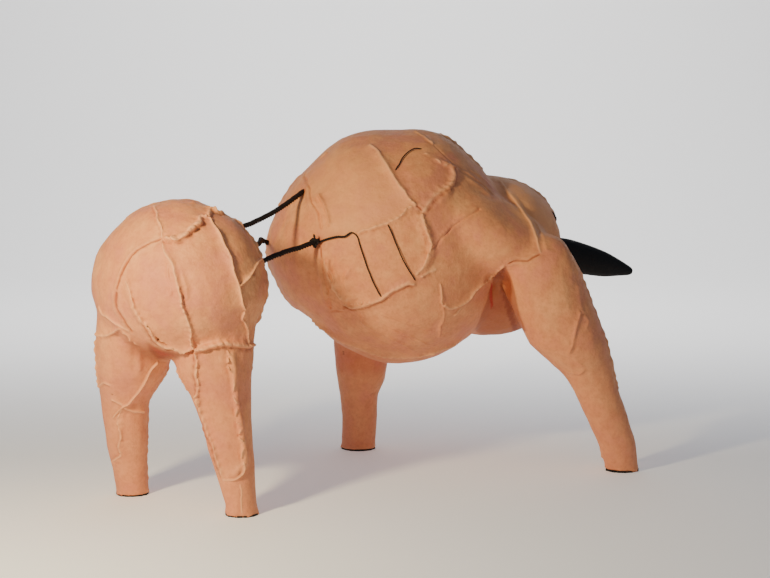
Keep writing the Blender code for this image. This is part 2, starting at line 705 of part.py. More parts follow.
def main():
    """Build the whole sculpture."""
    clear_scene()
    dome = build_dome_body()
    ball = build_ball_body()
    height = SOLE_THICKNESS + CLEARANCE
    feet = foot_outlines(dome, height) + foot_outlines(ball, height)
    names = ("sole_left", "sole_right", "sole_far", "sole_hind")
    for name, outline in zip(names, feet):
        make_sole(name, outline)
    add_welts(
        dome, DOME_CENTRE,
        (DOME_BROW, SEAT_RIGHT, SEAT_LEFT, RIGHT_LEG_INNER, RIGHT_LEG_OUTER),
        (DOME_CROWN, DOME_LEFT, DOME_MIDDLE, DOME_RIGHT, DOME_SIDE, LEFT_LEG_TOP,
         LEFT_LEG_BRANCH, LEFT_LEG_CROSS, LEFT_LEG_SHIN, LEFT_LEG_KNEE),
        DOME_BACK_SEAMS, LEG_BACK_SEAMS["dome_body"], DOME_TRIANGLES,
    )
    add_welts(
        ball, BALL_CENTRE,
        (HIP_SEAM, BALL_CREST, PANEL_RIGHT, PANEL_LEFT, PANEL_LEFT_LOW),
        (HIP_UNDER, SHOULDER_SEAM, BALL_TO_HIP, BALL_DIAGONAL, PANEL_TOP, PANEL_BOTTOM,
         BELLY_SEAM, FLANK_SEAM, FLANK_DROP, THIGH_FOLD, THIGH_WRINKLE),
        BALL_BACK_SEAMS, LEG_BACK_SEAMS["ball_body"], BALL_TRIANGLES,
    )
    finish(dome, "skin")
    finish(ball, "skin")
    for name, points in CORD_ROUTES.items():
        bore_ends(dome, points, CORD_RADIUS, True, False)
        bore_ends(ball, points, CORD_RADIUS, False, True)
        build_cord(name, points, CORD_RADIUS)
    for name, points in LACE_ROUTES.items():
        bore_ends(ball, points, LACE_RADIUS, name != "lace", True)
        build_cord(name, points, LACE_RADIUS)
    build_knot()
    build_tail(ball)
    shade_round(dome)
    shade_round(ball)


main()
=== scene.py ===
"""Looks of an abstract animal sculpture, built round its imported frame.

Two bodies of stitched, flesh-coloured leather stand on four legs. Black cords
lace them together, and a black horn of a tail stands in the rump. Metres, +Z
up, +X towards the tail, -Y towards the camera.
"""

from __future__ import annotations

import logging
import math
from collections.abc import Iterable, Iterator
from contextlib import contextmanager
from dataclasses import dataclass, field
from enum import Enum

import bmesh
import bpy
import numpy as np
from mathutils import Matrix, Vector, noise
from mathutils.bvhtree import BVHTree
from mathutils.kdtree import KDTree


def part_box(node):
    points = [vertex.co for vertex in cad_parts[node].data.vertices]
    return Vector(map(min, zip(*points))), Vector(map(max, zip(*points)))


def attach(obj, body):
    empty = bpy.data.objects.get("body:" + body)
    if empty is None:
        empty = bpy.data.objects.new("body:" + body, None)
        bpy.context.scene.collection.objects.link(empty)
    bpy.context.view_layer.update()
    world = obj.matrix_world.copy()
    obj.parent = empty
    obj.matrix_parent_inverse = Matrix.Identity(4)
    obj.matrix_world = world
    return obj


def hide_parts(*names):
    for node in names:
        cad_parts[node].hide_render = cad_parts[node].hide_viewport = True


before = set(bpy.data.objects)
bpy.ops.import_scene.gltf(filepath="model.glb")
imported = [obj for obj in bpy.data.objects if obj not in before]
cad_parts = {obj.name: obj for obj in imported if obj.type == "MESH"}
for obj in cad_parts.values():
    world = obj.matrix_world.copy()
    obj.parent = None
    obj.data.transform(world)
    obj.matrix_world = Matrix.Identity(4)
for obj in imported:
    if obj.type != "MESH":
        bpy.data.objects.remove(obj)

LOG = logging.getLogger("sculpture")
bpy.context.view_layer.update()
MM = 0.001
Route = tuple[tuple[float, float], ...]
Point = tuple[float, float, float]
Landing = list[tuple[np.ndarray, np.ndarray]]

# Points nearer than this are one point, in a copied mesh and in a tube's caps
MERGE_COPY = 0.02 * MM
MERGE_TUBE = 0.01 * MM


# Small tools

def linear(code: str) -> tuple[float, float, float, float]:
    """Turn an sRGB hex colour into linear light.

    Args:
        code: A colour such as "#c98c68".

    Returns:
        Red, green, blue and alpha.
    """
    channels = []
    for start in (1, 3, 5):
        value = int(code[start:start + 2], 16) / 255.0
        channels.append(value / 12.92 if value <= 0.04045 else ((value + 0.055) / 1.055) ** 2.4)
    return (channels[0], channels[1], channels[2], 1.0)


def add_node(tree: bpy.types.NodeTree, kind: str, settings: dict | None = None,
             values: dict | None = None, links: dict | None = None) -> bpy.types.Node:
    """Add a node with its settings, socket values and links.

    Args:
        tree: The material's node tree.
        kind: The node's type name.
        settings: The node's own properties, by name.
        values: Values of its input sockets, by name or number.
        links: The sockets that feed its inputs, by name or number.

    Returns:
        The new node.
    """
    node = tree.nodes.new(kind)
    for name, value in (settings or {}).items():
        setattr(node, name, value)
    for name, value in (values or {}).items():
        node.inputs[name].default_value = value
    for name, source in (links or {}).items():
        tree.links.new(source, node.inputs[name])
    return node


def set_ramp(node: bpy.types.Node, stops: tuple[tuple[float, str], ...]) -> None:
    """Set a colour ramp's stops.

    Args:
        node: A colour ramp node.
        stops: (place, hex colour) pairs in rising order.
    """
    ramp = node.color_ramp
    while len(ramp.elements) > 1:
        ramp.elements.remove(ramp.elements[-1])
    ramp.elements[0].position = stops[0][0]
    ramp.elements[0].color = linear(stops[0][1])
    for place, code in stops[1:]:
        ramp.elements.new(place).color = linear(code)


def deselect() -> None:
    """Deselect everything, because operators act on all that is selected."""
    if bpy.context.object and bpy.context.object.mode != "OBJECT":
        bpy.ops.object.mode_set(mode="OBJECT")
    bpy.ops.object.select_all(action="DESELECT")


def activate(piece: bpy.types.Object) -> None:
    """Make one object the only one selected.

    Args:
        piece: The object.
    """
    deselect()
    bpy.context.view_layer.objects.active = piece
    piece.select_set(True)


def apply_modifier(piece: bpy.types.Object, kind: str, **settings: object) -> None:
    """Add a modifier to a piece, set it and apply it.

    Args:
        piece: The object.
        kind: The modifier's type name.
        settings: The modifier's properties.
    """
    activate(piece)
    modifier = piece.modifiers.new(kind.title(), kind)
    for name, value in settings.items():
        setattr(modifier, name, value)
    bpy.ops.object.modifier_apply(modifier=modifier.name)


@contextmanager
def edited(mesh: bpy.types.Mesh) -> Iterator[bmesh.types.BMesh]:
    """Open a mesh for edits and write them back at the end.

    Args:
        mesh: The mesh.

    Yields:
        The mesh, open.
    """
    bm = bmesh.new()
    bm.from_mesh(mesh)
    yield bm
    bm.to_mesh(mesh)
    bm.free()


def mesh_copy(node: str, name: str) -> bpy.types.Object:
    """Copy a CAD node's mesh into a new object and merge its loose triangles.

    Args:
        node: The node's name.
        name: The new object's name.

    Returns:
        The new object.
    """
    piece = bpy.data.objects.new(name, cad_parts[node].data.copy())
    bpy.context.scene.collection.objects.link(piece)
    with edited(piece.data) as bm:
        bmesh.ops.remove_doubles(bm, verts=bm.verts, dist=MERGE_COPY)
    return piece


def read_rows(source: bpy.types.bpy_prop_collection, name: str) -> np.ndarray:
    """Read one vector of each item, such as a mesh's points or their normals.

    Args:
        source: The items.
        name: The vector's name.

    Returns:
        Rows of x, y, z.
    """
    flat = np.empty(len(source) * 3, np.float32)
    source.foreach_get(name, flat)
    return flat.reshape(-1, 3).astype(float)


def set_positions(mesh: bpy.types.Mesh, places: np.ndarray) -> None:
    """Write a mesh's points."""
    mesh.vertices.foreach_set("co", places.astype(np.float32).ravel())
    mesh.update()


def set_attribute(mesh: bpy.types.Mesh, name: str, values: np.ndarray) -> None:
    """Keep one number for each point of a mesh, for its material to read."""
    layer = mesh.attributes.get(name) or mesh.attributes.new(name, "FLOAT", "POINT")
    layer.data.foreach_set("value", values.astype(np.float32))


def tree_of(mesh: bpy.types.Mesh) -> BVHTree:
    """Make a search tree of a mesh.

    Args:
        mesh: The mesh.

    Returns:
        The tree.
    """
    bm = bmesh.new()
    bm.from_mesh(mesh)
    tree = BVHTree.FromBMesh(bm)
    bm.free()
    return tree


def dress(piece: bpy.types.Object, material: bpy.types.Material, node: str) -> bpy.types.Object:
    """Give a finished piece its material, hang it on the root and hide the CAD node that it
    replaces.

    Args:
        piece: The piece.
        material: Its material.
        node: The CAD node that it replaces.

    Returns:
        The piece.
    """
    piece.data.materials.clear()
    piece.data.materials.append(material)
    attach(piece, "root")
    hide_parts(node)
    return piece


def smooth_steps(points: np.ndarray, step: float) -> np.ndarray:
    """Draw one smooth curve through points and mark it off in even steps.

    Args:
        points: The points, as rows.
        step: The length of a step, in the points' own unit.

    Returns:
        The marks, as rows.
    """
    ends = np.vstack((2 * points[0] - points[1], points, 2 * points[-1] - points[-2]))
    fine = []
    shares = np.linspace(0.0, 1.0, 16, endpoint=False)[:, None]
    for first, start, end, last in zip(ends, ends[1:], ends[2:], ends[3:]):
        bend = 2 * start + (end - first) * shares
        bend = bend + (2 * first - 5 * start + 4 * end - last) * shares ** 2
        bend = bend + (3 * start - first - 3 * end + last) * shares ** 3
        fine.append(bend * 0.5)
    line = np.vstack(fine + [points[-1:]])
    return even_steps(line, step)


def run_along(line: np.ndarray) -> np.ndarray:
    """Distance of each point along a line, from its start."""
    return np.concatenate(([0.0], np.cumsum(np.linalg.norm(np.diff(line, axis=0), axis=1))))


def between(reach: np.ndarray, lengths: np.ndarray, rows: np.ndarray) -> np.ndarray:
    """Read rows that are given at some lengths at other distances."""
    return np.column_stack([np.interp(reach, lengths, rows[:, axis]) for axis in range(3)])


def even_steps(line: np.ndarray, step: float) -> np.ndarray:
    """Mark a line of many points off in even steps.

    Args:
        line: The line, as rows of points.
        step: The length of a step.

    Returns:
        The marks, as rows.
    """
    lengths = run_along(line)
    count = max(2, round(lengths[-1] / step))
    return between(np.linspace(0.0, lengths[-1], count + 1), lengths, line)


def unit(rows: np.ndarray) -> np.ndarray:
    """Make each row one long."""
    return rows / np.maximum(np.linalg.norm(rows, axis=1, keepdims=True), 1e-12)


def wander(places: np.ndarray, pitch: float, seed: int) -> np.ndarray:
    """A smooth wander between -1 and 1 along a line.

    Args:
        places: Distances along the line.
        pitch: The distance between its turns.
        seed: Which wander it is.

    Returns:
        One value for each distance.
    """
    count = int(np.max(np.abs(places), initial=0.0) / pitch) + 4
    marks = np.random.default_rng(seed).uniform(-1.0, 1.0, 2 * count + 3)
    reach = places / pitch + count
    before = np.floor(reach).astype(int)
    share = reach - before
    share = share * share * (3 - 2 * share)
    return marks[before] * (1 - share) + marks[before + 1] * share


# The drawing that the front seams are laid out on

def landed(hits: Iterable[tuple]) -> Landing:
    """Keep the place and normal of each ray that met the body."""
    return [(np.array(hit[0]), np.array(hit[1])) for hit in hits if hit[0] is not None]


@dataclass(frozen=True)
class Drawing:
    """A viewer's eye and the drawing's grid, in which a point is (across, down)."""

    eye: Point = (0.007, -2.17, 0.457)
    pitch_deg: float = 6.0
    per_radian: float = 1818.0
    centre: tuple[float, float] = (385.0, 289.0)
    margin: float = 14.0
    halvings: int = 9

    def axes(self) -> tuple[Point, Point]:
        """The directions ahead of the eye and above it."""
        pitch = math.radians(self.pitch_deg)
        return (0.0, math.cos(pitch), -math.sin(pitch)), (0.0, math.sin(pitch), math.cos(pitch))

    def ray(self, across: float, down: float) -> Vector:
        """Find the direction from the eye through a point of the drawing.

        Args:
            across: The point's place across.
            down: Its place down.

        Returns:
            The direction, one long.
        """
        ahead, above = (Vector(axis) for axis in self.axes())
        side = (across - self.centre[0]) / self.per_radian
        rise = (self.centre[1] - down) / self.per_radian
        return (ahead + Vector((side, 0.0, 0.0)) + above * rise).normalized()

    def find(self, places: np.ndarray) -> tuple[np.ndarray, np.ndarray]:
        """Find where points lie on the drawing.

        Args:
            places: Points of a body.

        Returns:
            Their places across and down.
        """
        away = places - np.array(self.eye)
        ahead, above = (away @ np.array(axis) for axis in self.axes())
        across = self.centre[0] + self.per_radian * away[:, 0] / ahead
        return across, self.centre[1] - self.per_radian * above / ahead

    def hit(self, tree: BVHTree, across: float, down: float) -> tuple:
        """Find where one ray from the eye meets a body."""
        return tree.ray_cast(Vector(self.eye), self.ray(across, down))

    def steps(self, route: Route) -> np.ndarray:
        """Mark a drawn route off in steps of one."""
        return smooth_steps(np.array([(*point, 0.0) for point in route], float), 1.0)

    def throw(self, tree: BVHTree, route: Route) -> Landing:
        """Throw a drawn route from the eye onto a body.

        Args:
            tree: The body.
            route: Points of the drawing.

        Returns:
            The places and normals where it lands.
        """
        return landed(self.hit(tree, *mark[:2]) for mark in self.steps(route))

    def throw_edge(self, tree: BVHTree, route: Route) -> Landing:
        """Throw a drawn route onto a body's very outline, from a little inside it.

        Args:
            tree: The body.
            route: Points of the drawing.

        Returns:
            The places and normals where it lands.
        """
        marks = self.steps(route)
        hits = []
        for mark, run in zip(marks, unit(np.gradient(marks, axis=0))):
            if self.hit(tree, mark[0], mark[1])[0] is None:
                continue
            for side in ((run[1], -run[0]), (-run[1], run[0])):
                within, beyond = 0.0, self.margin
                past = self.hit(tree, mark[0] + side[0] * beyond, mark[1] + side[1] * beyond)
                if past[0] is not None:
                    continue
                for _ in range(self.halvings):
                    middle = (within + beyond) / 2
                    at = self.hit(tree, mark[0] + side[0] * middle, mark[1] + side[1] * middle)
                    within, beyond = (middle, beyond) if at[0] is not None else (within, middle)
                hits.append(self.hit(tree, mark[0] + side[0] * within, mark[1] + side[1] * within))
                break
        return landed(hits)


DRAWING = Drawing()
# Step of a route given in degrees, in radians
TURN_STEP = 0.008


def throw_round(tree: BVHTree, centre: Point, route: Route) -> Landing:
    """Throw a hidden seam, given in degrees round and up, onto a body from outside.

    Args:
        tree: The body.
        centre: The body's centre.
        route: The seam's points, in degrees.

    Returns:
        The places and normals where it lands.
    """
    turns = np.radians(np.array(route, float))
    marks = np.column_stack((
        np.cos(turns[:, 1]) * np.cos(turns[:, 0]),
        np.cos(turns[:, 1]) * np.sin(turns[:, 0]),
        np.sin(turns[:, 1]),
    ))
    outwards = [Vector(mark).normalized() for mark in smooth_steps(marks, TURN_STEP)]
    return landed(tree.ray_cast(Vector(centre) + outward, -outward) for outward in outwards)


def throw_behind(tree: BVHTree, route: Route) -> Landing:
    """Throw a hidden seam, given by (x, z), onto a body from behind.

    Args:
        tree: The body.
        route: The seam's points.

    Returns:
        The places and normals where it lands.
    """
    marks = smooth_steps(np.array([(x, z, 0.0) for x, z in route], float), 1.2 * MM)
    ahead = Vector((0.0, -1.0, 0.0))
    return landed(tree.ray_cast(Vector((x, 1.0, z)), ahead) for x, z, _ in marks)


# Seams

class Sewing(Enum):
    """How a seam is made."""

    CREASE = "two edges butted and drawn in, a thin dark line"
    RIDGE = "two edges pinched up into a thin straight ridge"
    WHIPPED = "a ridge drawn over by whip stitches"
    ROPE = "a thick ridge that the stitches pull into lumps"
    LAP = "one panel's edge laid over the next"
    DASHES = "long loose stitches that lie across the seam in turn"
    FOLD = "no seam at all, a soft wrinkle in the leather"


class Thrown(Enum):
    """Where a seam's route is drawn from."""

    EYE = "the front drawing"
    EDGE = "the front drawing, pushed out to the outline"
    ROUND = "degrees round and up about the body's centre"
    BEHIND = "x and z from behind"


@dataclass(frozen=True)
class Seam:
    """One seam: its route and how it is sewn, in millimetres.

    The leather rises by tent on both sides of it. Its stitches lie a pitch
    apart, its groove lies on one side, and waver is how far it strays.
    """

    route: Route
    sewing: Sewing = Sewing.RIDGE
    height: float = 1.5
    width: float = 1.6
    tent: float = 0.6
    pitch: float = 8.5
    side: float = 1.0
    thrown: Thrown = Thrown.EYE
    waver: float = 1.0


CREASE, RIDGE, WHIPPED, ROPE, LAP, DASHES, FOLD = Sewing
EDGE, ROUND, BEHIND = Thrown.EDGE, Thrown.ROUND, Thrown.BEHIND

# How far a seam works on the skin, its step, and the gap that parts two stretches
REACH = 16 * MM
STEP = 0.8 * MM
PART = 14 * MM
# Points worked on at once, and how alike a point and the seam have to face
CHUNK = 4000
FACING = 0.15


class SeamLine:
    """A seam laid on a body: places, directions and the relief that it raises."""

    def __init__(self, seam: Seam, found: Landing, seed: int) -> None:
        """Lay the seam.

        Args:
            seam: What the seam is.
            found: Places and normals where its route lands.
            seed: Which chance marks it has.
        """
        self.seam = seam
        self.seed = seed
        raw = np.array([place for place, _ in found])
        normals = np.array([normal for _, normal in found])
        breaks = np.flatnonzero(np.linalg.norm(np.diff(raw, axis=0), axis=1) > PART) + 1
        starts = np.concatenate(([0], breaks))
        stops = np.concatenate((breaks, [len(raw)]))
        longest = int(np.argmax(stops - starts))
        stretch = slice(starts[longest], stops[longest])
        raw, normals = raw[stretch], normals[stretch]
        lengths = run_along(raw)
        self.length = float(lengths[-1])
        self.reach = np.linspace(0.0, lengths[-1], max(4, round(lengths[-1] / STEP)))
        self.places = between(self.reach, lengths, raw)
        padded = np.pad(between(self.reach, lengths, normals), ((4, 4), (0, 0)), mode="edge")
        kernel = np.ones(9) / 9
        self.normals = unit(np.column_stack([
            np.convolve(padded[:, axis], kernel, mode="valid") for axis in range(3)
        ]))
        self.along = unit(np.gradient(self.places, axis=0))
        self.across = unit(np.cross(self.normals, self.along))

    def profile(
        self, off: np.ndarray, run: np.ndarray,
    ) -> tuple[np.ndarray, np.ndarray, np.ndarray]:
        """Relief of the seam, in millimetres.

        Args:
            off: Distance across the seam, in millimetres.
            run: Distance along it, in millimetres.

        Returns:
            Height, crest share and groove share.
        """
        seam = self.seam
        width, pitch = seam.width, seam.pitch
        height = seam.height * (0.85 + 0.35 * wander(run, 13.0, self.seed + 4))
        run = run + 0.45 * pitch * wander(run, 2.1 * pitch, self.seed + 2)
        line = off + seam.waver * (
            0.75 * wander(run, 11.0, self.seed + 1) + 0.3 * wander(run, 4.0, self.seed + 3)
        )
        lumps = 0.5 + 0.5 * wander(run, pitch * 1.7, self.seed)
        beat = 0.5 + 0.5 * np.cos((run - 0.8 * off) / pitch * math.tau)

        def bell(distance: np.ndarray, spread: float) -> np.ndarray:
            """A narrow hump with soft flanks."""
            return 1.0 / (1.0 + (distance / spread) ** 2) ** 1.6

        pucker = np.cos(run / pitch * math.tau + np.sign(off) * 0.9)
        pucker = pucker * np.exp(-((np.abs(off) - 2.5 * width) / 3.2) ** 2)
        tent = seam.tent * np.exp(-(off / 7.0) ** 2)
        none = np.zeros(len(off))
        if seam.sewing is FOLD:
            soft = np.exp(-(line / (1.4 * width)) ** 2)
            valley = np.exp(-((line + seam.side * 2.6 * width) / (1.6 * width)) ** 2)
            return height * (soft - 0.6 * valley), none, none
        if seam.sewing is CREASE:
            groove = bell(line, 0.9 * width)
            lips = bell(np.abs(line) - 2.1 * width, width)
            return tent + height * (0.45 * lips - groove), 0.35 * lips, groove
        if seam.sewing is RIDGE:
            crest = bell(line, width) * (0.8 + 0.3 * lumps)
            groove = bell(line + seam.side * 2.3 * width, 0.9 * width)
            return tent + height * (crest - 0.22 * groove), crest, 0.35 * groove
        if seam.sewing is WHIPPED:
            crest = bell(line, width) * (0.45 + 0.40 * beat + 0.40 * lumps)
            groove = bell(line + seam.side * 2.1 * width, 0.9 * width)
            rise = crest - 0.35 * groove
            return tent + height * rise + 0.35 * pucker, crest, 0.7 * groove * lumps
        if seam.sewing is ROPE:
            turn = np.abs(np.cos(math.pi * (run / pitch + 0.16 * line / width)))
            crest = bell(line, 1.25 * width) * (0.40 + 0.60 * turn) * (0.40 + 1.0 * lumps)
            groove = bell(line + seam.side * 2.2 * width, width)
            other = bell(line - seam.side * 2.4 * width, width)
            rise = crest - 0.42 * groove - 0.18 * other
            return tent + height * rise + 0.5 * pucker, crest, groove * (0.45 + 0.55 * turn)
        if seam.sewing is LAP:
            line = seam.side * line
            edge = 1.0 / (1.0 + np.exp(np.clip(line / (0.35 * width), -30, 30)))
            shelf = edge * np.exp(-(np.minimum(line, 0.0) / 7.5) ** 2)
            groove = bell(line - 1.5 * width, 0.9 * width)
            crest = bell(line + 0.9 * width, width) * (0.70 + 0.45 * beat)
            rise = 0.6 * shelf + 0.45 * crest - 0.5 * groove
            return tent + height * rise + 0.3 * pucker, crest, groove
        slant = np.where((run // pitch) % 2 == 0, 1.0, -0.55)
        middle = (run % pitch) - 0.5 * pitch
        line = line - 0.55 * slant * middle
        dash = np.exp(-(middle / (0.30 * pitch)) ** 4)
        crest = bell(line, width) * dash * (0.5 + 0.7 * lumps)
        groove = bell(off + seam.side * 2.6 * width, width)
        return tent + height * (crest - 0.15 * groove), crest, 0.3 * groove

    def raise_on(self, places: np.ndarray, normals: np.ndarray) -> tuple[np.ndarray, ...]:
        """Work out what the seam does to a body's points.

        Args:
            places: The body's points.
            normals: Their normals.

        Returns:
            The indices of the points that it reaches, and their height in
            metres, crest share and groove share.
        """
        low = self.places.min(0) - REACH
        high = self.places.max(0) + REACH
        near = np.flatnonzero(((places > low) & (places < high)).all(1))
        picks, offs, runs, ends = [], [], [], []
        for chunk in np.array_split(near, max(1, len(near) // CHUNK)):
            if not len(chunk):
                continue
            gap = ((places[chunk][:, None, :] - self.places[None, :, :]) ** 2).sum(2)
            nearest = gap.argmin(1)
            away = places[chunk] - self.places[nearest]
            facing = (normals[chunk] * self.normals[nearest]).sum(1) > FACING
            close = (np.sqrt(gap[np.arange(len(chunk)), nearest]) < REACH) & facing
            chunk, nearest, away = chunk[close], nearest[close], away[close]
            run = self.reach[nearest] + (away * self.along[nearest]).sum(1)
            picks.append(chunk)
            offs.append((away * self.across[nearest]).sum(1))
            runs.append(run)
            ends.append(np.maximum(-run, run - self.length))
        if not picks:
            return (np.array([], int),) * 4
        picks, offs = np.concatenate(picks), np.concatenate(offs) / MM
        runs, ends = np.concatenate(runs) / MM, np.concatenate(ends) / MM
        height, crest, groove = self.profile(offs, runs)
        fade = np.clip((1.5 - ends) / 4.5, 0.0, 1.0)
        fade = fade * fade * (3 - 2 * fade)
        edge = np.clip((REACH / MM - np.abs(offs)) / 4.0, 0.0, 1.0)
        return picks, height * fade * edge * MM, crest * fade, groove * fade


@dataclass(frozen=True)
class Spot:
    """A nub, hollow or hole on the skin, at a point of the front drawing, in millimetres."""

    at: tuple[float, float]
    height: float
    spread: float
    # How far the hole's inside is painted near black, as painted shade
    hole: float = 0.0


@dataclass(frozen=True)
class TintAndShade:
    """A place on the body where a colour layer is laid, a red tint or painted shade, with its
    spread in millimetres.
    """

    at: Point
    spread: float
    amount: float
    layer: str = "red_stain_and_shade"


@dataclass(frozen=True)
class Dent:
    """A place where the skin is drawn aside, by a shift in metres."""

    at: Point
    spread: float
    shift: Point


@dataclass(frozen=True)
class Patch:
    """A patch of the front drawing where a colour layer is laid: painted shade, painted light or
    red stain.
    """

    outline: Route
    layer: str
    amount: float
    soft: float = 2.0

    def cover(self, places: np.ndarray, normals: np.ndarray) -> np.ndarray:
        """How far the patch covers each point.

        Args:
            places: Points of a body.
            normals: Their normals.

        Returns:
            0 outside and 1 well inside, for points that face the drawing's eye.
        """
        across, down = DRAWING.find(places)
        inside = np.zeros(len(places), bool)
        near = np.full(len(places), 1e9)
        corners = np.array(self.outline, float)
        for start, end in zip(corners, np.roll(corners, -1, axis=0)):
            run = end - start
            share = ((across - start[0]) * run[0] + (down - start[1]) * run[1]) / (run @ run)
            share = np.clip(share, 0.0, 1.0)
            gap = np.hypot(across - start[0] - share * run[0], down - start[1] - share * run[1])
            near = np.minimum(near, gap)
            crosses = (start[1] > down) != (end[1] > down)
            rise = end[1] - start[1] if end[1] != start[1] else 1e-9
            inside ^= crosses & (across < start[0] + (down - start[1]) * run[0] / rise)
        signed = np.where(inside, near, -near)
        cover = np.clip(0.5 + signed / (2 * self.soft), 0.0, 1.0)
        facing = ((np.array(DRAWING.eye) - places) * normals).sum(1) > 0.0
        return cover * cover * (3 - 2 * cover) * facing


# Leather

def new_material(name: str, roughness: float, gloss: float) -> tuple:
    """Make a material with its main shader set.

    Args:
        name: Its name.
        roughness: Its roughness.
        gloss: Its specular level.

    Returns:
        The material, its node tree and its shader.
    """
    material = bpy.data.materials.new(name)
    material.use_nodes = True
    tree = material.node_tree
    shader = tree.nodes["Principled BSDF"]
    shader.inputs["Roughness"].default_value = roughness
    shader.inputs["Specular IOR Level"].default_value = gloss
    return material, tree, shader


@dataclass(frozen=True)
class VegetableTannedLeather:
    """Undyed vegetable-tanned calf, worked wet and dried hard over a form.

    Matt and even, with a warm peach face and a fine pore grain. Shade is painted
    brown into seam grooves, folds, hollows and holes, and a paler highlight is painted
    on seam crests and on panels that face the lamp.
    """

    name: str = "skin_leather"
    # Pale is a tone of the mottle, and also the painted light laid on panels that face the lamp
    pale: str = "#efa86e"
    middle: str = "#e89b65"
    pink: str = "#e18f69"
    # Painted highlight on seam crests
    crest: str = "#f9bb86"
    # Painted shade in seam grooves and in the shade patches; also the tone of small flecks
    crease: str = "#9c5234"
    handled: str = "#c97a52"
    # Dark red: the red streak in the belly's hollow and the rims of the cord holes, and painted
    # shade under the left leg's lip, deep in the hollow and over the far leg's top
    red_stain_and_shade: str = "#b83a28"
    # Near black: painted shade inside holes
    hole: str = "#2a0f0a"
    roughness: float = 0.62
    gloss: float = 0.35
    # The pores are 0.2 mm in calf, too fine to show, so they are drawn at 1.1 mm
    grain_mm: float = 1.1
    # Marks of a hand's working, of the fingers, of wet spots and of fine wrinkles
    mottle_mm: float = 38.0
    blotch_mm: float = 11.0
    fleck_mm: float = 1000 / 260
    wrinkle_mm: float = 1000 / 120
    # The skin turns pinker from this height down to the ground: partly its own tone, partly painted
    # shade where less light falls low on the body
    pink_and_shade_below: float = 0.30

    def build(self) -> bpy.types.Material:
        """Make the material.

        Returns:
            The leather.
        """
        material, tree, shader = new_material(self.name, self.roughness, self.gloss)
        place = add_node(tree, "ShaderNodeTexCoord").outputs["Object"]
        broad = add_node(
            tree, "ShaderNodeTexNoise",
            values={"Scale": 1000.0 / self.mottle_mm, "Detail": 4.0, "Roughness": 0.55},
            links={"Vector": place},
        )
        base = add_node(tree, "ShaderNodeValToRGB", links={"Fac": broad.outputs["Fac"]})
        set_ramp(base, ((0.36, self.pink), (0.50, self.middle), (0.64, self.pale)))
        height = add_node(tree, "ShaderNodeSeparateXYZ", links={"Vector": place}).outputs["Z"]
        # Pinker towards the ground: partly its own tone, partly painted shade
        marks = [(height, 0.0, self.pink_and_shade_below, 0.55, 0.0, self.pink)]
        for size_mm, least, most, share, code in (
            (self.blotch_mm, 0.42, 0.66, 0.34, self.handled),
            (self.fleck_mm, 0.45, 0.75, 0.22, self.crease),
        ):
            speckle = add_node(
                tree, "ShaderNodeTexNoise",
                values={"Scale": 1000.0 / size_mm, "Detail": 3.0, "Roughness": 0.6},
                links={"Vector": place},
            )
            marks.append((speckle.outputs["Fac"], least, most, 0.0, share, code))
        colour = base.outputs["Color"]
        for source, least, most, start, end, code in marks:
            amount = add_node(
                tree, "ShaderNodeMapRange",
                values={"From Min": least, "From Max": most, "To Min": start, "To Max": end},
                links={"Value": source},
            )
            colour = self.blend(tree, colour, code, amount.outputs["Result"])
        # Colour layers on the skin: painted light, painted highlight on crests, painted shade in
        # grooves and patches, red stain with painted shade, and painted shade inside holes
        for attribute, code, share in (
            ("pale", self.pale, 1.0), ("crest", self.crest, 0.70), ("groove", self.crease, 0.80),
            ("shade", self.crease, 1.0), ("red_stain_and_shade", self.red_stain_and_shade, 1.0), ("hole", self.hole, 1.0),
        ):
            mark = add_node(tree, "ShaderNodeAttribute", {"attribute_name": attribute})
            amount = add_node(
                tree, "ShaderNodeMath", {"operation": "MULTIPLY", "use_clamp": True},
                values={1: share}, links={0: mark.outputs["Fac"]},
            )
            colour = self.blend(tree, colour, code, amount.outputs["Value"])
        tree.links.new(colour, shader.inputs["Base Color"])
        self.add_grain(tree, place, shader)
        return material

    def blend(self, tree: bpy.types.NodeTree, under: bpy.types.NodeSocket, code: str,
              amount: bpy.types.NodeSocket) -> bpy.types.NodeSocket:
        """Lay a colour over another.

        Args:
            tree: The material's node tree.
            under: The colour below.
            code: The hex colour above.
            amount: How much of it shows.

        Returns:
            The blended colour.
        """
        mix = add_node(tree, "ShaderNodeMix", {"data_type": "RGBA"}, links={"Factor": amount})
        tree.links.new(under, mix.inputs[6])
        mix.inputs[7].default_value = linear(code)
        return mix.outputs[2]

    def add_grain(self, tree: bpy.types.NodeTree, place: bpy.types.NodeSocket,
                  shader: bpy.types.Node) -> None:
        """Raise the pore grain and the soft wrinkles of worked leather.

        Args:
            tree: The material's node tree.
            place: The object's own coordinates.
            shader: The main shader.
        """
        pores = add_node(
            tree, "ShaderNodeTexVoronoi",
            values={"Scale": 1000.0 / self.grain_mm}, links={"Vector": place},
        )
        folds = add_node(
            tree, "ShaderNodeTexNoise",
            values={"Scale": 1000.0 / self.wrinkle_mm, "Detail": 5.0, "Roughness": 0.6},
            links={"Vector": place},
        )
        soft = add_node(
            tree, "ShaderNodeBump", values={"Strength": 0.6, "Distance": 2.0 * MM},
            links={"Height": folds.outputs["Fac"]},
        )
        fine = add_node(
            tree, "ShaderNodeBump", values={"Strength": 0.25, "Distance": 0.25 * MM},
            links={"Height": pores.outputs["Distance"], "Normal": soft.outputs["Normal"]},
        )
        tree.links.new(fine.outputs["Normal"], shader.inputs["Normal"])


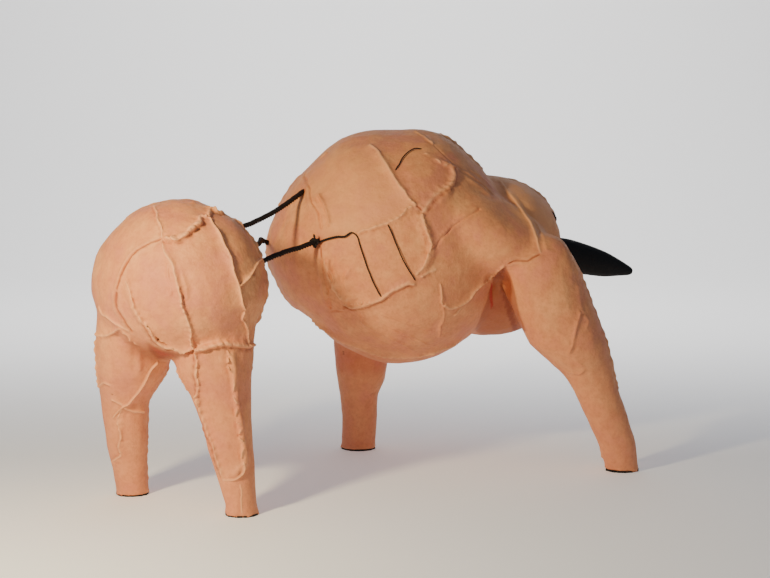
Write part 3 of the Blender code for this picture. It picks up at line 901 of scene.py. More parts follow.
@dataclass(frozen=True)
class BlackStock:
    """A black material: waxed cord or black-dyed leather."""

    name: str
    dark: str
    light: str
    roughness: float
    grain_mm: float
    bump: float
    gloss: float = 0.3

    def build(self) -> bpy.types.Material:
        """Make the material.

        Returns:
            The black stock.
        """
        material, tree, shader = new_material(self.name, self.roughness, self.gloss)
        place = add_node(tree, "ShaderNodeTexCoord").outputs["Object"]
        fibres = add_node(
            tree, "ShaderNodeTexNoise",
            values={"Scale": 1000.0 / self.grain_mm, "Detail": 4.0}, links={"Vector": place},
        )
        base = add_node(tree, "ShaderNodeValToRGB", links={"Fac": fibres.outputs["Fac"]})
        set_ramp(base, ((0.35, self.dark), (0.75, self.light)))
        tree.links.new(base.outputs["Color"], shader.inputs["Base Color"])
        bump = add_node(
            tree, "ShaderNodeBump", values={"Strength": self.bump, "Distance": 0.4 * MM},
            links={"Height": fibres.outputs["Fac"]},
        )
        tree.links.new(bump.outputs["Normal"], shader.inputs["Normal"])
        return material


SKIN = VegetableTannedLeather()
# Waxed linen cord: a dull black with brown in the worn fibres
CORD_STOCK = BlackStock("waxed_cord", "#0b0908", "#241b17", 0.72, 1.2, 0.6)
# Drum-dyed black leather: dense, matt, with a fine grain
BLACK_LEATHER = BlackStock("black_dyed_leather", "#0a0a0a", "#161413", 0.70, 2.2, 0.35)


# The two bodies

@dataclass
class SkinBody:
    """One sewn body: its skin over the form, and the seams that join it.

    The skin is a sheet as fine as voxel, smoothed over a distance of settle,
    and cut finer within each of refine_reach of a seam. A swell is the stuffing's
    unevenness. The feet are worked foot_spare longer and then trimmed.
    """

    node: str
    centre: Point
    voxel: float
    settle: float
    seams: tuple[Seam, ...]
    spots: tuple[Spot, ...] = ()
    tints_and_shades: tuple[TintAndShade, ...] = ()
    patches: tuple[Patch, ...] = ()
    dents: tuple[Dent, ...] = ()
    plugs: tuple[tuple[Point, Point, float], ...] = ()
    foot_level: float = 2.3 * MM
    foot_spare: float = 14 * MM
    flare: float = 1.8 * MM
    flare_height: float = 9 * MM
    swell: float = 0.9 * MM
    broad_swell: float = 30 * MM
    small_swell: float = 11 * MM
    mouth_depth: float = 1.4 * MM
    hem_drop: float = 1.9 * MM
    refine_reach: tuple[float, ...] = (4.4 * MM, 1.9 * MM)
    least_marks: int = 6
    seed: int = 1
    lines: list[SeamLine] = field(default_factory=list)

    def build(self, material: bpy.types.Material) -> bpy.types.Object:
        """Build the skin and dress it.

        Args:
            material: The leather.

        Returns:
            The finished piece.
        """
        piece = mesh_copy(self.node, self.node + "_skin")
        self.close_holes(piece)
        self.stretch_over_form(piece)
        self.lay_seams(piece)
        self.refine(piece)
        self.raise_relief(piece)
        activate(piece)
        bpy.ops.object.shade_smooth()
        return dress(piece, material, self.node)

    def close_holes(self, piece: bpy.types.Object) -> None:
        """Stop the bored holes and lengthen the feet, so that the skin can be worked.

        Args:
            piece: The skin.
        """
        for mouth, inside, radius in self.plugs:
            along = Vector(mouth) - Vector(inside)
            deselect()
            bpy.ops.mesh.primitive_cylinder_add(
                vertices=20, radius=radius, depth=along.length,
                location=(Vector(mouth) + Vector(inside)) / 2,
                rotation=along.to_track_quat("Z", "Y").to_euler(),
            )
            plug = bpy.context.object
            activate(piece)
            plug.select_set(True)
            bpy.ops.object.join()
        with edited(piece.data) as bm:
            level = self.foot_level + 0.1 * MM
            flat = [face for face in bm.faces if face.calc_center_median().z < level]
            grown = bmesh.ops.extrude_face_region(bm, geom=flat)
            moved = [item for item in grown["geom"] if isinstance(item, bmesh.types.BMVert)]
            bmesh.ops.translate(bm, verts=moved, vec=(0.0, 0.0, -self.foot_spare))

    def stretch_over_form(self, piece: bpy.types.Object) -> None:
        """Work the skin into one even, smooth sheet and trim it at the feet.

        Args:
            piece: The skin.
        """
        passes = max(1, round((2 * self.settle / self.voxel) ** 2))
        apply_modifier(piece, "REMESH", mode="VOXEL", voxel_size=self.voxel)
        apply_modifier(piece, "SMOOTH", factor=0.5, iterations=passes)
        with edited(piece.data) as bm:
            cut = bmesh.ops.bisect_plane(
                bm, geom=bm.verts[:] + bm.edges[:] + bm.faces[:], dist=0.05 * MM,
                plane_co=(0.0, 0.0, self.foot_level), plane_no=(0.0, 0.0, -1.0), clear_outer=True,
            )
            rim = [item for item in cut["geom_cut"] if isinstance(item, bmesh.types.BMEdge)]
            bmesh.ops.holes_fill(bm, edges=rim, sides=0)
            bmesh.ops.recalc_face_normals(bm, faces=bm.faces)

    def lay_seams(self, piece: bpy.types.Object) -> None:
        """Lay every seam on the smooth skin.

        Args:
            piece: The skin.
        """
        tree = tree_of(piece.data)
        self.lines = []
        for number, seam in enumerate(self.seams):
            if seam.thrown is Thrown.EYE:
                found = DRAWING.throw(tree, seam.route)
            elif seam.thrown is Thrown.EDGE:
                found = DRAWING.throw_edge(tree, seam.route)
            elif seam.thrown is Thrown.ROUND:
                found = throw_round(tree, self.centre, seam.route)
            else:
                found = throw_behind(tree, seam.route)
            if len(found) >= self.least_marks:
                self.lines.append(SeamLine(seam, found, self.seed * 100 + number * 3))

    def refine(self, piece: bpy.types.Object) -> None:
        """Cut the skin finer along the seams.

        Args:
            piece: The skin.
        """
        marks = np.vstack([line.places for line in self.lines])[::3]
        nearest = KDTree(len(marks))
        for number, mark in enumerate(marks):
            nearest.insert(mark, number)
        nearest.balance()
        with edited(piece.data) as bm:
            for reach in self.refine_reach:
                near = {vert for vert in bm.verts if nearest.find(vert.co)[2] < reach}
                edges = [
                    edge for edge in bm.edges if edge.verts[0] in near and edge.verts[1] in near
                ]
                bmesh.ops.subdivide_edges(bm, edges=edges, cuts=1, use_grid_fill=True)

    def raise_relief(self, piece: bpy.types.Object) -> None:
        """Raise the seams, puckers, nubs and foot rims, and keep their painted shade, highlight and
        stain for the leather.

        Args:
            piece: The skin.
        """
        mesh = piece.data
        places, normals = read_rows(mesh.vertices, "co"), read_rows(mesh.vertex_normals, "vector")
        count = len(places)
        up, down = np.zeros(count), np.zeros(count)
        crest, groove = np.zeros(count), np.zeros(count)
        for line in self.lines:
            picks, height, crests, grooves = line.raise_on(places, normals)
            up[picks] = np.maximum(up[picks], height)
            down[picks] = np.minimum(down[picks], height)
            crest[picks] = np.maximum(crest[picks], crests)
            groove[picks] = np.maximum(groove[picks], grooves)
        height = up + down + self.swells(places)
        # Colour layers: painted shade inside holes, red stain with painted shade, painted light,
        # and painted shade
        layers = {name: np.zeros(count) for name in ("hole", "red_stain_and_shade", "pale", "shade")}
        hole, red_stain_and_shade = layers["hole"], layers["red_stain_and_shade"]
        tree = tree_of(mesh)
        for spot in self.spots:
            hit = DRAWING.hit(tree, *spot.at)[0]
            if hit is None:
                continue
            gap = np.linalg.norm(places - np.array(hit), axis=1) / MM
            hump = np.exp(-(gap / spot.spread) ** 2)
            height += spot.height * MM * hump
            # A hole's inside gets painted shade
            np.maximum(hole, spot.hole * np.exp(-(gap / (0.8 * spot.spread)) ** 4), out=hole)
        for tint_and_shade in self.tints_and_shades:
            gap = np.linalg.norm(places - np.array(tint_and_shade.at), axis=1) / MM
            layer = layers[tint_and_shade.layer]
            np.maximum(layer, tint_and_shade.amount * np.exp(-(gap / tint_and_shade.spread) ** 2), out=layer)
        for mouth, inside, radius in self.plugs:
            gap = np.linalg.norm(places - np.array(mouth), axis=1)
            drawn_in = np.exp(-(gap / (1.5 * radius)) ** 2)
            height -= self.mouth_depth * drawn_in
            np.maximum(red_stain_and_shade, 0.7 * drawn_in, out=red_stain_and_shade)
        # Patches lay painted shade, painted light and red stain
        for patch in self.patches:
            layers[patch.layer] += patch.amount * patch.cover(places, normals)
        moved = places + normals * height[:, None]
        for dent in self.dents:
            gap = np.linalg.norm(places - np.array(dent.at), axis=1) / dent.spread
            moved += np.exp(-gap ** 2)[:, None] * np.array(dent.shift)
        set_positions(mesh, self.finish_feet(moved, normals))
        for name, values in {**layers, "crest": crest, "groove": groove}.items():
            set_attribute(mesh, name, np.clip(values, 0.0, 1.0))

    def swells(self, places: np.ndarray) -> np.ndarray:
        """Work out the soft unevenness of stuffed leather.

        Args:
            places: The skin's points.

        Returns:
            The rise at each point, in metres.
        """
        rise = np.empty(len(places))
        for number, place in enumerate(places):
            broad = noise.noise(Vector(place) / self.broad_swell, noise_basis="PERLIN_ORIGINAL")
            small = noise.noise(Vector(place) / self.small_swell, noise_basis="PERLIN_ORIGINAL")
            rise[number] = broad + 0.32 * small
        return rise * self.swell

    def finish_feet(self, places: np.ndarray, normals: np.ndarray) -> np.ndarray:
        """Turn the cut edge of the skin outwards at each foot, with an uneven hem.

        Args:
            places: The skin's points.
            normals: Their normals.

        Returns:
            The points, moved.
        """
        low = np.clip(1.0 - (places[:, 2] - self.foot_level) / self.flare_height, 0.0, 1.0) ** 2
        level = normals.copy()
        level[:, 2] = 0.0
        level = unit(level)
        angle = np.arctan2(level[:, 1], level[:, 0])
        ripple = 0.6 + 0.4 * np.sin(angle * 5.0 + places[:, 0] * 40.0)
        side = np.abs(normals[:, 2]) < 0.7
        out = places + level * (low * ripple * side * self.flare)[:, None]
        turn = angle / math.tau * 13 + places[:, 0] * 60
        hem = np.clip(wander(turn + 40, 1.0, self.seed) * 0.7 + 0.65, 0.0, 1.0)
        drop = np.clip(1.0 - (out[:, 2] - self.foot_level) / (3 * MM), 0.0, 1.0)
        out[:, 2] = np.maximum(out[:, 2] - drop * hem * side * self.hem_drop, 0.3 * MM)
        return out


DOME_SEAMS = (
    # Crown, and the crease that runs from it round the left panel
    Seam(((154, 206), (157, 215), (159, 222), (162, 230), (162, 239)), WHIPPED, 2.0, 1.2, 0.5),
    Seam(((162, 239), (152, 242), (142, 247), (132, 255), (126, 264), (122, 272), (119, 281),
         (116, 291)), CREASE, 2.3, 1.5, -0.3),
    Seam(((116, 291), (115, 306), (118, 313), (127, 326), (133, 333)), CREASE, 2.2, 2.4, -0.4),
    # Middle seam, whipped lower down
    Seam(((162, 239), (164, 251), (172, 263), (175, 275), (179, 291)), RIDGE, 1.7, 1.3, 0.9, 8.5,
         -1.0),
    Seam(((177, 285), (180, 296), (182, 305), (187, 318), (190, 327), (191, 338), (194, 350)),
         WHIPPED, 2.8, 1.5, 0.5, 7.5, -1.0),
    Seam(((168, 262), (168, 275), (171, 286), (170, 296)), FOLD, 1.6, 1.6),
    Seam(((181, 268), (185, 282), (188, 300)), FOLD, 0.9, 1.8, 0.0, 8.5, -1.0),
    # Thick lumpy seam up to the right, and its end on the outline
    Seam(((162, 239), (172, 239), (180, 238), (190, 230), (199, 224), (201, 217), (208, 217)),
         ROPE, 4.2, 2.0, 0.9, 9.5, 1.0),
    Seam(((208, 217), (211, 209), (217, 213), (224, 214)), ROPE, 3.2, 1.8, 0.6, 8.0),
    # Thin straight ridge down the right, with its branch
    Seam(((208, 217), (217, 232), (224, 245), (230, 259), (234, 273), (239, 287), (242, 303),
         (245, 310)), RIDGE, 2.8, 1.0, 1.3, 9.0, -1.0, waver=0.3),
    Seam(((245, 310), (242, 318), (246, 323), (247, 333), (248, 345)), RIDGE, 2.6, 1.1, 1.0),
    Seam(((239, 287), (246, 280), (252, 272), (258, 262), (262, 258)), RIDGE, 2.8, 1.0, 0.8,
         waver=0.4),
    # Seams over the left leg's root and along the bottom of the body
    Seam(((126, 280), (130, 290), (134, 306), (138, 315), (143, 323)), WHIPPED, 2.2, 1.2, 0.6, 7.5,
         -1.0),
    Seam(((143, 323), (147, 328), (150, 333), (155, 341), (162, 347), (173, 350), (184, 352),
         (194, 350)), LAP, 3.8, 1.6, 0.6, 8.0, -1.0),
    Seam(((155, 335), (160, 341), (168, 345)), CREASE, 1.6, 1.1, 0.0),
    Seam(((194, 350), (199, 350), (208, 347), (221, 344), (231, 344), (239, 345), (248, 346),
         (255, 343)), ROPE, 4.0, 1.8, 0.9, 10.0, 1.0),
    # Right leg
    Seam(((194, 350), (197, 364), (196, 374), (198, 386), (196, 397), (198, 404), (200, 411),
         (206, 427), (208, 435), (214, 446), (217, 461), (220, 470), (222, 480)), ROPE, 3.0, 1.5,
         0.4, 9.0, 1.0),
    Seam(((230, 345), (228, 357), (231, 371), (234, 391), (236, 407), (239, 426), (242, 444),
         (243, 460), (244, 467)), DASHES, 3.8, 1.2, 0.6, 13.0),
    Seam(((244, 462), (243, 471), (238, 477), (232, 480), (222, 480)), RIDGE, 2.4, 1.1, 0.3),
    Seam(((241, 484), (242, 514)), RIDGE, 0.9, 0.8, 0.2),
    Seam(((252, 345), (252, 370), (252, 395), (252, 415), (254, 440), (255, 465), (256, 485),
         (258, 500)), WHIPPED, 2.2, 1.8, 0.0, 13.0, 1.0, EDGE),
    Seam(((178, 362), (184, 378), (190, 396), (197, 416), (205, 440), (212, 462), (219, 484),
         (225, 505)), WHIPPED, 1.8, 1.8, 0.0, 11.0, 1.0, EDGE),
    # Left leg
    Seam(((96, 335), (106, 336), (114, 332), (120, 329), (127, 335), (139, 345)),
         WHIPPED, 2.0, 1.3, 0.4, 8.0, 1.0),
    Seam(((99, 305), (104, 314), (113, 322), (120, 326), (131, 332)), RIDGE, 1.6, 1.4, 0.3),
    Seam(((140, 347), (140, 357), (140, 364), (140, 371)), FOLD, 1.5, 2.2),
    Seam(((158, 361), (151, 370), (145, 382), (139, 391), (129, 403), (123, 407), (116, 414),
         (113, 418)), RIDGE, 2.8, 0.95, 0.5, waver=0.3),
    Seam(((98, 386), (104, 383), (111, 386)), RIDGE, 1.6, 1.2, 0.2),
    Seam(((111, 398), (120, 404), (126, 409), (135, 411), (145, 411)), RIDGE, 2.0, 1.2, 0.4),
    Seam(((123, 407), (118, 420), (119, 426), (121, 435), (120, 441), (119, 449), (121, 455),
         (112, 462)), WHIPPED, 2.2, 1.2, 0.4),
    Seam(((98, 340), (98, 352), (98, 366), (99, 380), (99, 395), (101, 410), (104, 430), (108, 450),
         (111, 465), (114, 482)), WHIPPED, 2.6, 1.9, 0.0, 12.0, 1.0, EDGE),
    Seam(((166, 360), (160, 372), (153, 388), (148, 402), (147, 420), (147, 440), (147, 460),
         (147, 480)), WHIPPED, 1.2, 1.8, 0.0, 11.0, 1.0, EDGE),
    # Lumps along the top and right outlines
    Seam(((92, 296), (95, 268), (105, 243), (121, 222), (140, 210), (160, 204), (178, 204),
         (200, 207)), WHIPPED, 1.1, 2.6, 0.0, 24.0, 1.0, EDGE),
    Seam(((232, 220), (243, 231), (251, 242), (258, 256), (263, 270), (265, 284), (262, 298),
         (259, 312), (256, 326), (254, 340)), WHIPPED, 2.6, 2.2, 0.0, 14.0, 1.0, EDGE),
    # Hidden side
    Seam(((60, 70), (58, 40), (62, 5), (60, -25)), WHIPPED, 2.0, 1.4, 0.8, 9.0, 1.0, ROUND),
    Seam(((5, 20), (35, 28), (60, 22), (95, 30), (130, 18)), RIDGE, 2.0, 1.3, 0.8, 9.0, 1.0, ROUND),
    Seam(((20, -18), (60, -22), (100, -18)), ROPE, 2.8, 1.7, 0.8, 9.0, 1.0, ROUND),
    Seam(((-0.289, 0.030), (-0.285, 0.070), (-0.290, 0.110), (-0.283, 0.150)),
         WHIPPED, 1.8, 1.3, 0.4, 9.0, 1.0, BEHIND),
    Seam(((-0.156, 0.030), (-0.161, 0.070), (-0.168, 0.110), (-0.180, 0.150)),
         WHIPPED, 1.8, 1.3, 0.4, 9.0, 1.0, BEHIND),
)

BALL_SEAMS = (
    # Over the hip
    Seam(((501, 181), (507, 191), (513, 198), (518, 205), (524, 213), (532, 226), (536, 236),
         (538, 244), (541, 254)), RIDGE, 1.25, 1.3, 0.0, 9.0, 1.0, waver=0.5),
    Seam(((536, 223), (541, 232), (545, 242), (547, 252)), FOLD, 1.2, 1.9),
    Seam(((541, 254), (534, 257), (527, 261), (516, 261), (508, 264)), CREASE, 1.5, 1.2, 0.5),
    # Shoulder: crease, lumpy seam and the lines that run up to the outline
    Seam(((481, 209), (469, 216), (457, 223), (444, 237), (434, 247), (431, 251)), FOLD, -1.9, 1.2),
    Seam(((424, 153), (434, 159), (443, 163), (451, 167)), DASHES, 2.2, 1.7, 0.3, 11.0),
    Seam(((451, 167), (455, 175), (452, 183), (445, 188), (435, 196), (428, 204), (422, 213)),
         ROPE, 2.3, 2.0, 0.7, 12.0, -1.0),
    Seam(((432, 144), (444, 155), (456, 166), (469, 177), (483, 185), (492, 196)), FOLD, -0.7, 1.2),
    Seam(((451, 167), (464, 171), (479, 181), (495, 196)), FOLD, 0.7, 1.2),
    Seam(((468, 168), (480, 176), (490, 186)), FOLD, 0.6, 1.0),
    Seam(((415, 132), (424, 137), (433, 145)), RIDGE, 2.0, 1.4, 0.4),
    Seam(((438, 133), (445, 138), (453, 145), (460, 152), (469, 161), (480, 168), (490, 176)),
         WHIPPED, 2.6, 2.6, 0.0, 15.0, 1.0, EDGE),
    # The large panel on the left and its long upper edge
    Seam(((369, 145), (377, 152), (385, 163), (392, 174), (399, 186), (406, 194)),
         RIDGE, 2.4, 1.5, 1.8, 9.0, -1.0, waver=0.6),
    Seam(((403, 190), (408, 198), (413, 203), (417, 206)), WHIPPED, 2.4, 1.6, 1.2, 7.0, -1.0),
    Seam(((417, 206), (408, 208), (402, 215), (393, 220), (388, 223), (375, 227), (363, 231),
         (358, 234)), WHIPPED, 2.0, 1.4, 0.7, 7.5, -1.0),
    Seam(((416, 206), (420, 208), (423, 211)), CREASE, 2.2, 1.4, 0.0),
    Seam(((422, 213), (423, 221), (425, 227), (429, 238), (431, 245), (429, 253), (426, 261),
         (422, 268), (415, 275)), WHIPPED, 2.8, 1.5, 1.0, 9.0, 1.0),
    Seam(((414, 215), (419, 224), (423, 236), (425, 246)), FOLD, 0.9, 2.0),
    # Bottom of the panel, whipped, and the folds under it
    Seam(((415, 286), (408, 285), (402, 288), (394, 292), (388, 296), (380, 301), (372, 304),
         (361, 307), (352, 308), (343, 305)), LAP, 3.2, 1.5, 0.7, 6.5, 1.0),
    Seam(((410, 281), (402, 285), (393, 290), (386, 294), (378, 299)), WHIPPED, 1.6, 1.4, 0.0, 6.5),
    Seam(((344, 303), (355, 304), (363, 303), (372, 300)), DASHES, 3.2, 1.3, 0.3, 5.5),
    Seam(((330, 311), (338, 311), (345, 311), (352, 309)), FOLD, -1.0, 1.2),
    Seam(((361, 310), (363, 316), (361, 321), (366, 326), (376, 331)), FOLD, 2.0, 1.2),
    Seam(((366, 325), (378, 332), (396, 341), (414, 351)), FOLD, 1.9, 1.2),
    Seam(((376, 320), (396, 329), (420, 341), (438, 347)), FOLD, 1.1, 1.0),
    Seam(((380, 314), (404, 322), (432, 331)), FOLD, 0.9, 0.9),
    Seam(((372, 334), (390, 344), (404, 352)), FOLD, 1.1, 1.1),
    Seam(((392, 330), (412, 340), (430, 347)), FOLD, 0.8, 0.8),
    # Seams on the belly, up to the hollow beside the thigh
    Seam(((440, 283), (441, 292), (442, 301), (443, 305)), RIDGE, 1.9, 1.2, 0.4),
    Seam(((443, 305), (452, 308), (461, 305), (469, 300), (474, 293), (480, 286), (486, 280)),
         RIDGE, 2.2, 1.3, 0.7),
    Seam(((486, 280), (491, 275), (498, 270), (505, 265)), WHIPPED, 2.6, 1.3, 0.6, 7.0),
    Seam(((462, 305), (458, 312), (454, 316)), RIDGE, 1.9, 1.1, 0.3),
    Seam(((506, 267), (509, 280), (513, 297), (518, 313), (523, 330)), FOLD, 0.2, 1.0),
    Seam(((489, 279), (491, 292), (492, 310)), FOLD, 0.5, 0.8),
    Seam(((443, 305), (444, 319), (441, 326), (439, 337)), FOLD, 1.5, 1.1, 0.0, 8.5, -1.0),
    Seam(((420, 277), (428, 273), (437, 269)), WHIPPED, 1.6, 1.6, 0.4, 7.0),
    # Left edge of the panel: crease, fold and puckers
    Seam(((304, 174), (307, 183), (310, 188), (312, 202), (318, 211), (320, 220), (321, 230)),
         FOLD, -2.0, 1.3),
    Seam(((304, 196), (298, 201), (291, 209), (286, 218), (282, 232)), FOLD, -0.8, 2.0),
    Seam(((320, 246), (322, 259)), CREASE, 1.8, 1.0, 0.2),
    Seam(((322, 259), (321, 267), (325, 281), (327, 288), (330, 309)), FOLD, -3.2, 1.6),
    Seam(((319, 194), (324, 204), (328, 214), (330, 226)), FOLD, 3.6, 1.5, 0.0, 9.0, 1.0,
         waver=0.5),
    Seam(((330, 258), (330, 270), (334, 279), (331, 290)), FOLD, 3.2, 1.4, waver=0.8),
    Seam(((325, 260), (327, 272), (333, 287), (342, 300)), RIDGE, 1.6, 1.6, waver=1.2),
    Seam(((333, 262), (336, 274), (342, 284)), FOLD, 2.6, 1.5, 0.0, 8.5, -1.0, waver=0.8),
    Seam(((350, 268), (344, 280), (347, 292)), FOLD, 2.2, 1.8, waver=0.8),
    Seam(((342, 304), (350, 297), (358, 299)), FOLD, 2.2, 1.6, waver=0.8),
    Seam(((320, 159), (328, 152)), RIDGE, 2.4, 1.4, 0.3),
    Seam(((268, 250), (270, 262), (277, 278), (284, 292), (292, 304), (305, 316), (318, 327),
         (330, 337)), WHIPPED, 2.0, 2.4, 0.0, 16.0, 1.0, EDGE),
    Seam(((282, 208), (291, 190), (303, 172), (316, 158), (332, 147), (348, 138)),
         WHIPPED, 1.8, 2.4, 0.0, 17.0, 1.0, EDGE),
    # Thigh, rump and hind leg
    Seam(((580, 311), (577, 323), (573, 341), (569, 353)), FOLD, 1.9, 1.4, 0.0, 9.0, -1.0),
    Seam(((566, 354), (575, 359), (583, 366)), FOLD, 1.1, 1.8),
    Seam(((568, 372), (578, 374), (585, 369)), FOLD, 1.2, 1.5),
    Seam(((556, 330), (565, 337), (570, 345)), FOLD, 0.8, 2.2),
    Seam(((582, 315), (588, 321), (585, 330)), FOLD, 0.9, 1.7),
    Seam(((545, 300), (556, 306), (570, 308)), FOLD, 0.8, 3.0),
    Seam(((578, 285), (580, 300), (583, 314)), FOLD, 0.9, 2.6, 0.0, 9.0, -1.0),
    Seam(((508, 180), (522, 185), (535, 196), (545, 207), (553, 220)),
         WHIPPED, 2.0, 2.2, 0.0, 14.0, 1.0, EDGE),
    Seam(((579, 272), (586, 290), (594, 310), (602, 332), (608, 350), (614, 375), (622, 400),
         (629, 425), (634, 445), (636, 460)), WHIPPED, 2.2, 2.0, 0.0, 14.0, 1.0, EDGE),
    Seam(((522, 338), (536, 352), (552, 366), (566, 380), (576, 397), (586, 420), (596, 440),
         (604, 458)), WHIPPED, 1.5, 2.2, 0.0, 15.0, 1.0, EDGE),
    # Hidden side
    Seam(((100, 72), (95, 45), (88, 15), (92, -15), (100, -38)), WHIPPED, 2.4, 1.6, 1.0, 9.0, 1.0,
         ROUND),
    Seam(((45, 40), (70, 34), (90, 38), (125, 30), (165, 34)), RIDGE, 2.3, 1.5, 1.0, 9.0, 1.0,
         ROUND),
    Seam(((60, -5), (90, -8), (130, -12), (170, -4)), ROPE, 3.0, 1.9, 0.9, 9.5, 1.0, ROUND),
    Seam(((200, -40), (235, -55), (290, -62), (330, -48)), WHIPPED, 2.0, 1.6, 0.8, 9.0, 1.0, ROUND),
    Seam(((-0.028, 0.025), (-0.024, 0.060), (-0.029, 0.100), (-0.022, 0.135)),
         WHIPPED, 1.8, 1.4, 0.4, 9.0, 1.0, BEHIND),
    Seam(((0.295, 0.030), (0.278, 0.070), (0.264, 0.110), (0.242, 0.150)),
         WHIPPED, 1.8, 1.4, 0.4, 9.0, 1.0, BEHIND),
    Seam(((0.207, 0.205), (0.172, 0.190), (0.132, 0.180)), RIDGE, 2.0, 1.5, 0.5, 9.0, 1.0, BEHIND),
)

DOME_SPOTS = (
    Spot((148, 326), -1.8, 1.6, 1.0), Spot((158, 339), -1.4, 1.5, 0.8),
    Spot((112, 395), -1.3, 1.3, 0.8), Spot((174, 348), -1.0, 1.4, 0.7),
    Spot((183, 352), -1.2, 1.6, 0.6), Spot((193, 351), -1.6, 1.6, 0.7), Spot((98, 385), 2.6, 2.4),
    Spot((98, 372), 2.4, 2.2), Spot((97, 334), 2.6, 2.4), Spot((95, 314), 2.8, 1.8),
    Spot((265, 284), 3.4, 2.8), Spot((254, 277), 3.0, 1.8), Spot((253, 345), 3.2, 2.0),
    Spot((193, 203), 2.4, 2.4), Spot((208, 208), 2.6, 2.2), Spot((131, 339), 2.2, 2.6),
    Spot((123, 333), 1.8, 2.2), Spot((127, 344), -1.2, 2.4),
)
BALL_SPOTS = (
    Spot((494, 198), -1.6, 1.5, 0.8), Spot((343, 353), -1.6, 1.7, 1.0), Spot((581, 275), 2.4, 1.8),
    Spot((603, 333), 3.4, 2.4), Spot((372, 394), -0.8, 2.0, 0.3), Spot((340, 262), 2.6, 5.0),
    Spot((332, 272), -2.6, 4.0), Spot((348, 284), 2.8, 5.0), Spot((338, 290), -2.8, 4.0),
    Spot((352, 299), 2.2, 4.0), Spot((328, 296), 2.4, 4.0), Spot((334, 303), 1.2, 3.5),
    Spot((420, 211), -1.8, 2.6, 0.2), Spot((563, 292), 1.5, 11.0), Spot((560, 322), -1.2, 9.0),
    Spot((590, 340), 1.2, 8.0), Spot((566, 348), 1.2, 7.0), Spot((388, 300), -0.9, 3.0),
)

# Where the stuffing lies off the plain form: above the tail, on the thigh's back
# and front, and across the dip between haunch and rump
BALL_DENTS = (
    Dent((0.240, 0.137, 0.282), 24 * MM, (-10 * MM, 0.0, -1 * MM)),
    Dent((0.238, 0.028, 0.272), 20 * MM, (-5.5 * MM, 0.0, -1 * MM)),
    Dent((0.147, 0.020, 0.233), 16 * MM, (9.5 * MM, 0.0, 0.0)),
    Dent((0.182, 0.085, 0.318), 34 * MM, (0.0, -20 * MM, 0.0)),
    Dent((0.162, 0.015, 0.318), 26 * MM, (0.0, 10 * MM, 0.0)),
)

# A red tint, partly painted shade, deep in the hollow, and painted shade on the thigh's flank
# beside it, where the key lamp lights it
BALL_TINTS_AND_SHADES = (
    TintAndShade((0.110, 0.130, 0.180), 25.0, 0.3),
    TintAndShade((0.146, 0.019, 0.239), 11.0, 1.0, "shade"),
    TintAndShade((0.150, 0.030, 0.222), 12.0, 1.0, "shade"),
)

# Painted shade in the hollow between belly and thigh and on the thigh's flank beside it, with
# the hollow's red streak; painted light on the large upper-left panel and on the haunch; and
# reddish painted shade over the top of the far leg
BALL_PATCHES = (
    Patch(((503, 266), (498, 270), (490, 275), (489, 287), (487, 300), (481, 315), (475, 330),
          (482, 336), (510, 338), (518, 332), (513, 315), (508, 297), (504, 276)), "shade", 0.62,
          0.9),
    Patch(((501, 268), (506, 267), (511, 280), (515, 295), (520, 315), (526, 331), (516, 338),
          (508, 315), (501, 290)), "shade", 0.75, 1.2),
    Patch(((489, 283), (491.5, 286), (493, 305), (491, 309), (489.5, 298)), "red_stain_and_shade", 0.95, 0.8),
    Patch(((304, 174), (328, 155), (369, 145), (399, 186), (417, 206), (388, 223), (358, 234),
          (321, 236), (312, 202)), "pale", 0.4, 6.0),
    Patch(((335, 345), (388, 360), (388, 372), (335, 372)), "red_stain_and_shade", 0.25, 6.0),
    Patch(((494, 168), (510, 166), (532, 180), (544, 198), (552, 222), (548, 240), (530, 236),
          (512, 214), (498, 194)), "pale", 0.6, 7.0),
)
# Painted shade, reddish at its deepest, under the lip where the left leg leaves the body; faint
# painted shade down the right leg and over the left leg's root
DOME_PATCHES = (
    Patch(((128, 338), (140, 345), (155, 348), (172, 354), (160, 362), (140, 360), (128, 352)),
          "shade", 0.45, 5.0),
    Patch(((146, 341), (162, 350), (182, 354), (174, 360), (158, 359), (150, 352)), "shade", 0.6,
          2.0),
    Patch(((150, 345), (164, 352), (174, 356), (160, 356)), "red_stain_and_shade", 0.4, 2.0),
    Patch(((200, 352), (226, 350), (232, 400), (236, 460), (222, 470), (206, 420), (198, 384)),
          "shade", 0.10, 8.0),
    Patch(((118, 330), (134, 334), (152, 350), (160, 372), (146, 380), (126, 360)), "shade", 0.14,
          8.0),
)

CORD_MOUTHS = {
    "dome": (((-0.1630, -0.1145, 0.3085), (-0.1690, -0.1270, 0.3068)),
             ((-0.1390, -0.1175, 0.2685), (-0.1465, -0.1290, 0.2652)),
             ((-0.1595, -0.0970, 0.2830), (-0.1660, -0.1095, 0.2830))),
    "ball": (((-0.0925, 0.0335, 0.3435), (-0.0870, 0.0452, 0.3474)),
             ((-0.0730, -0.0170, 0.2875), (-0.0655, -0.0056, 0.2892)),
             ((-0.1380, 0.0700, 0.2787), (-0.1282, 0.0776, 0.2724))),
}
CORD_PLUG = 3.9 * MM
TAIL_PLUG = ((0.2365, 0.1476, 0.2583), (0.2255, 0.1453, 0.2608), 22.5 * MM)


# Cords, laces, knot, tail and soles

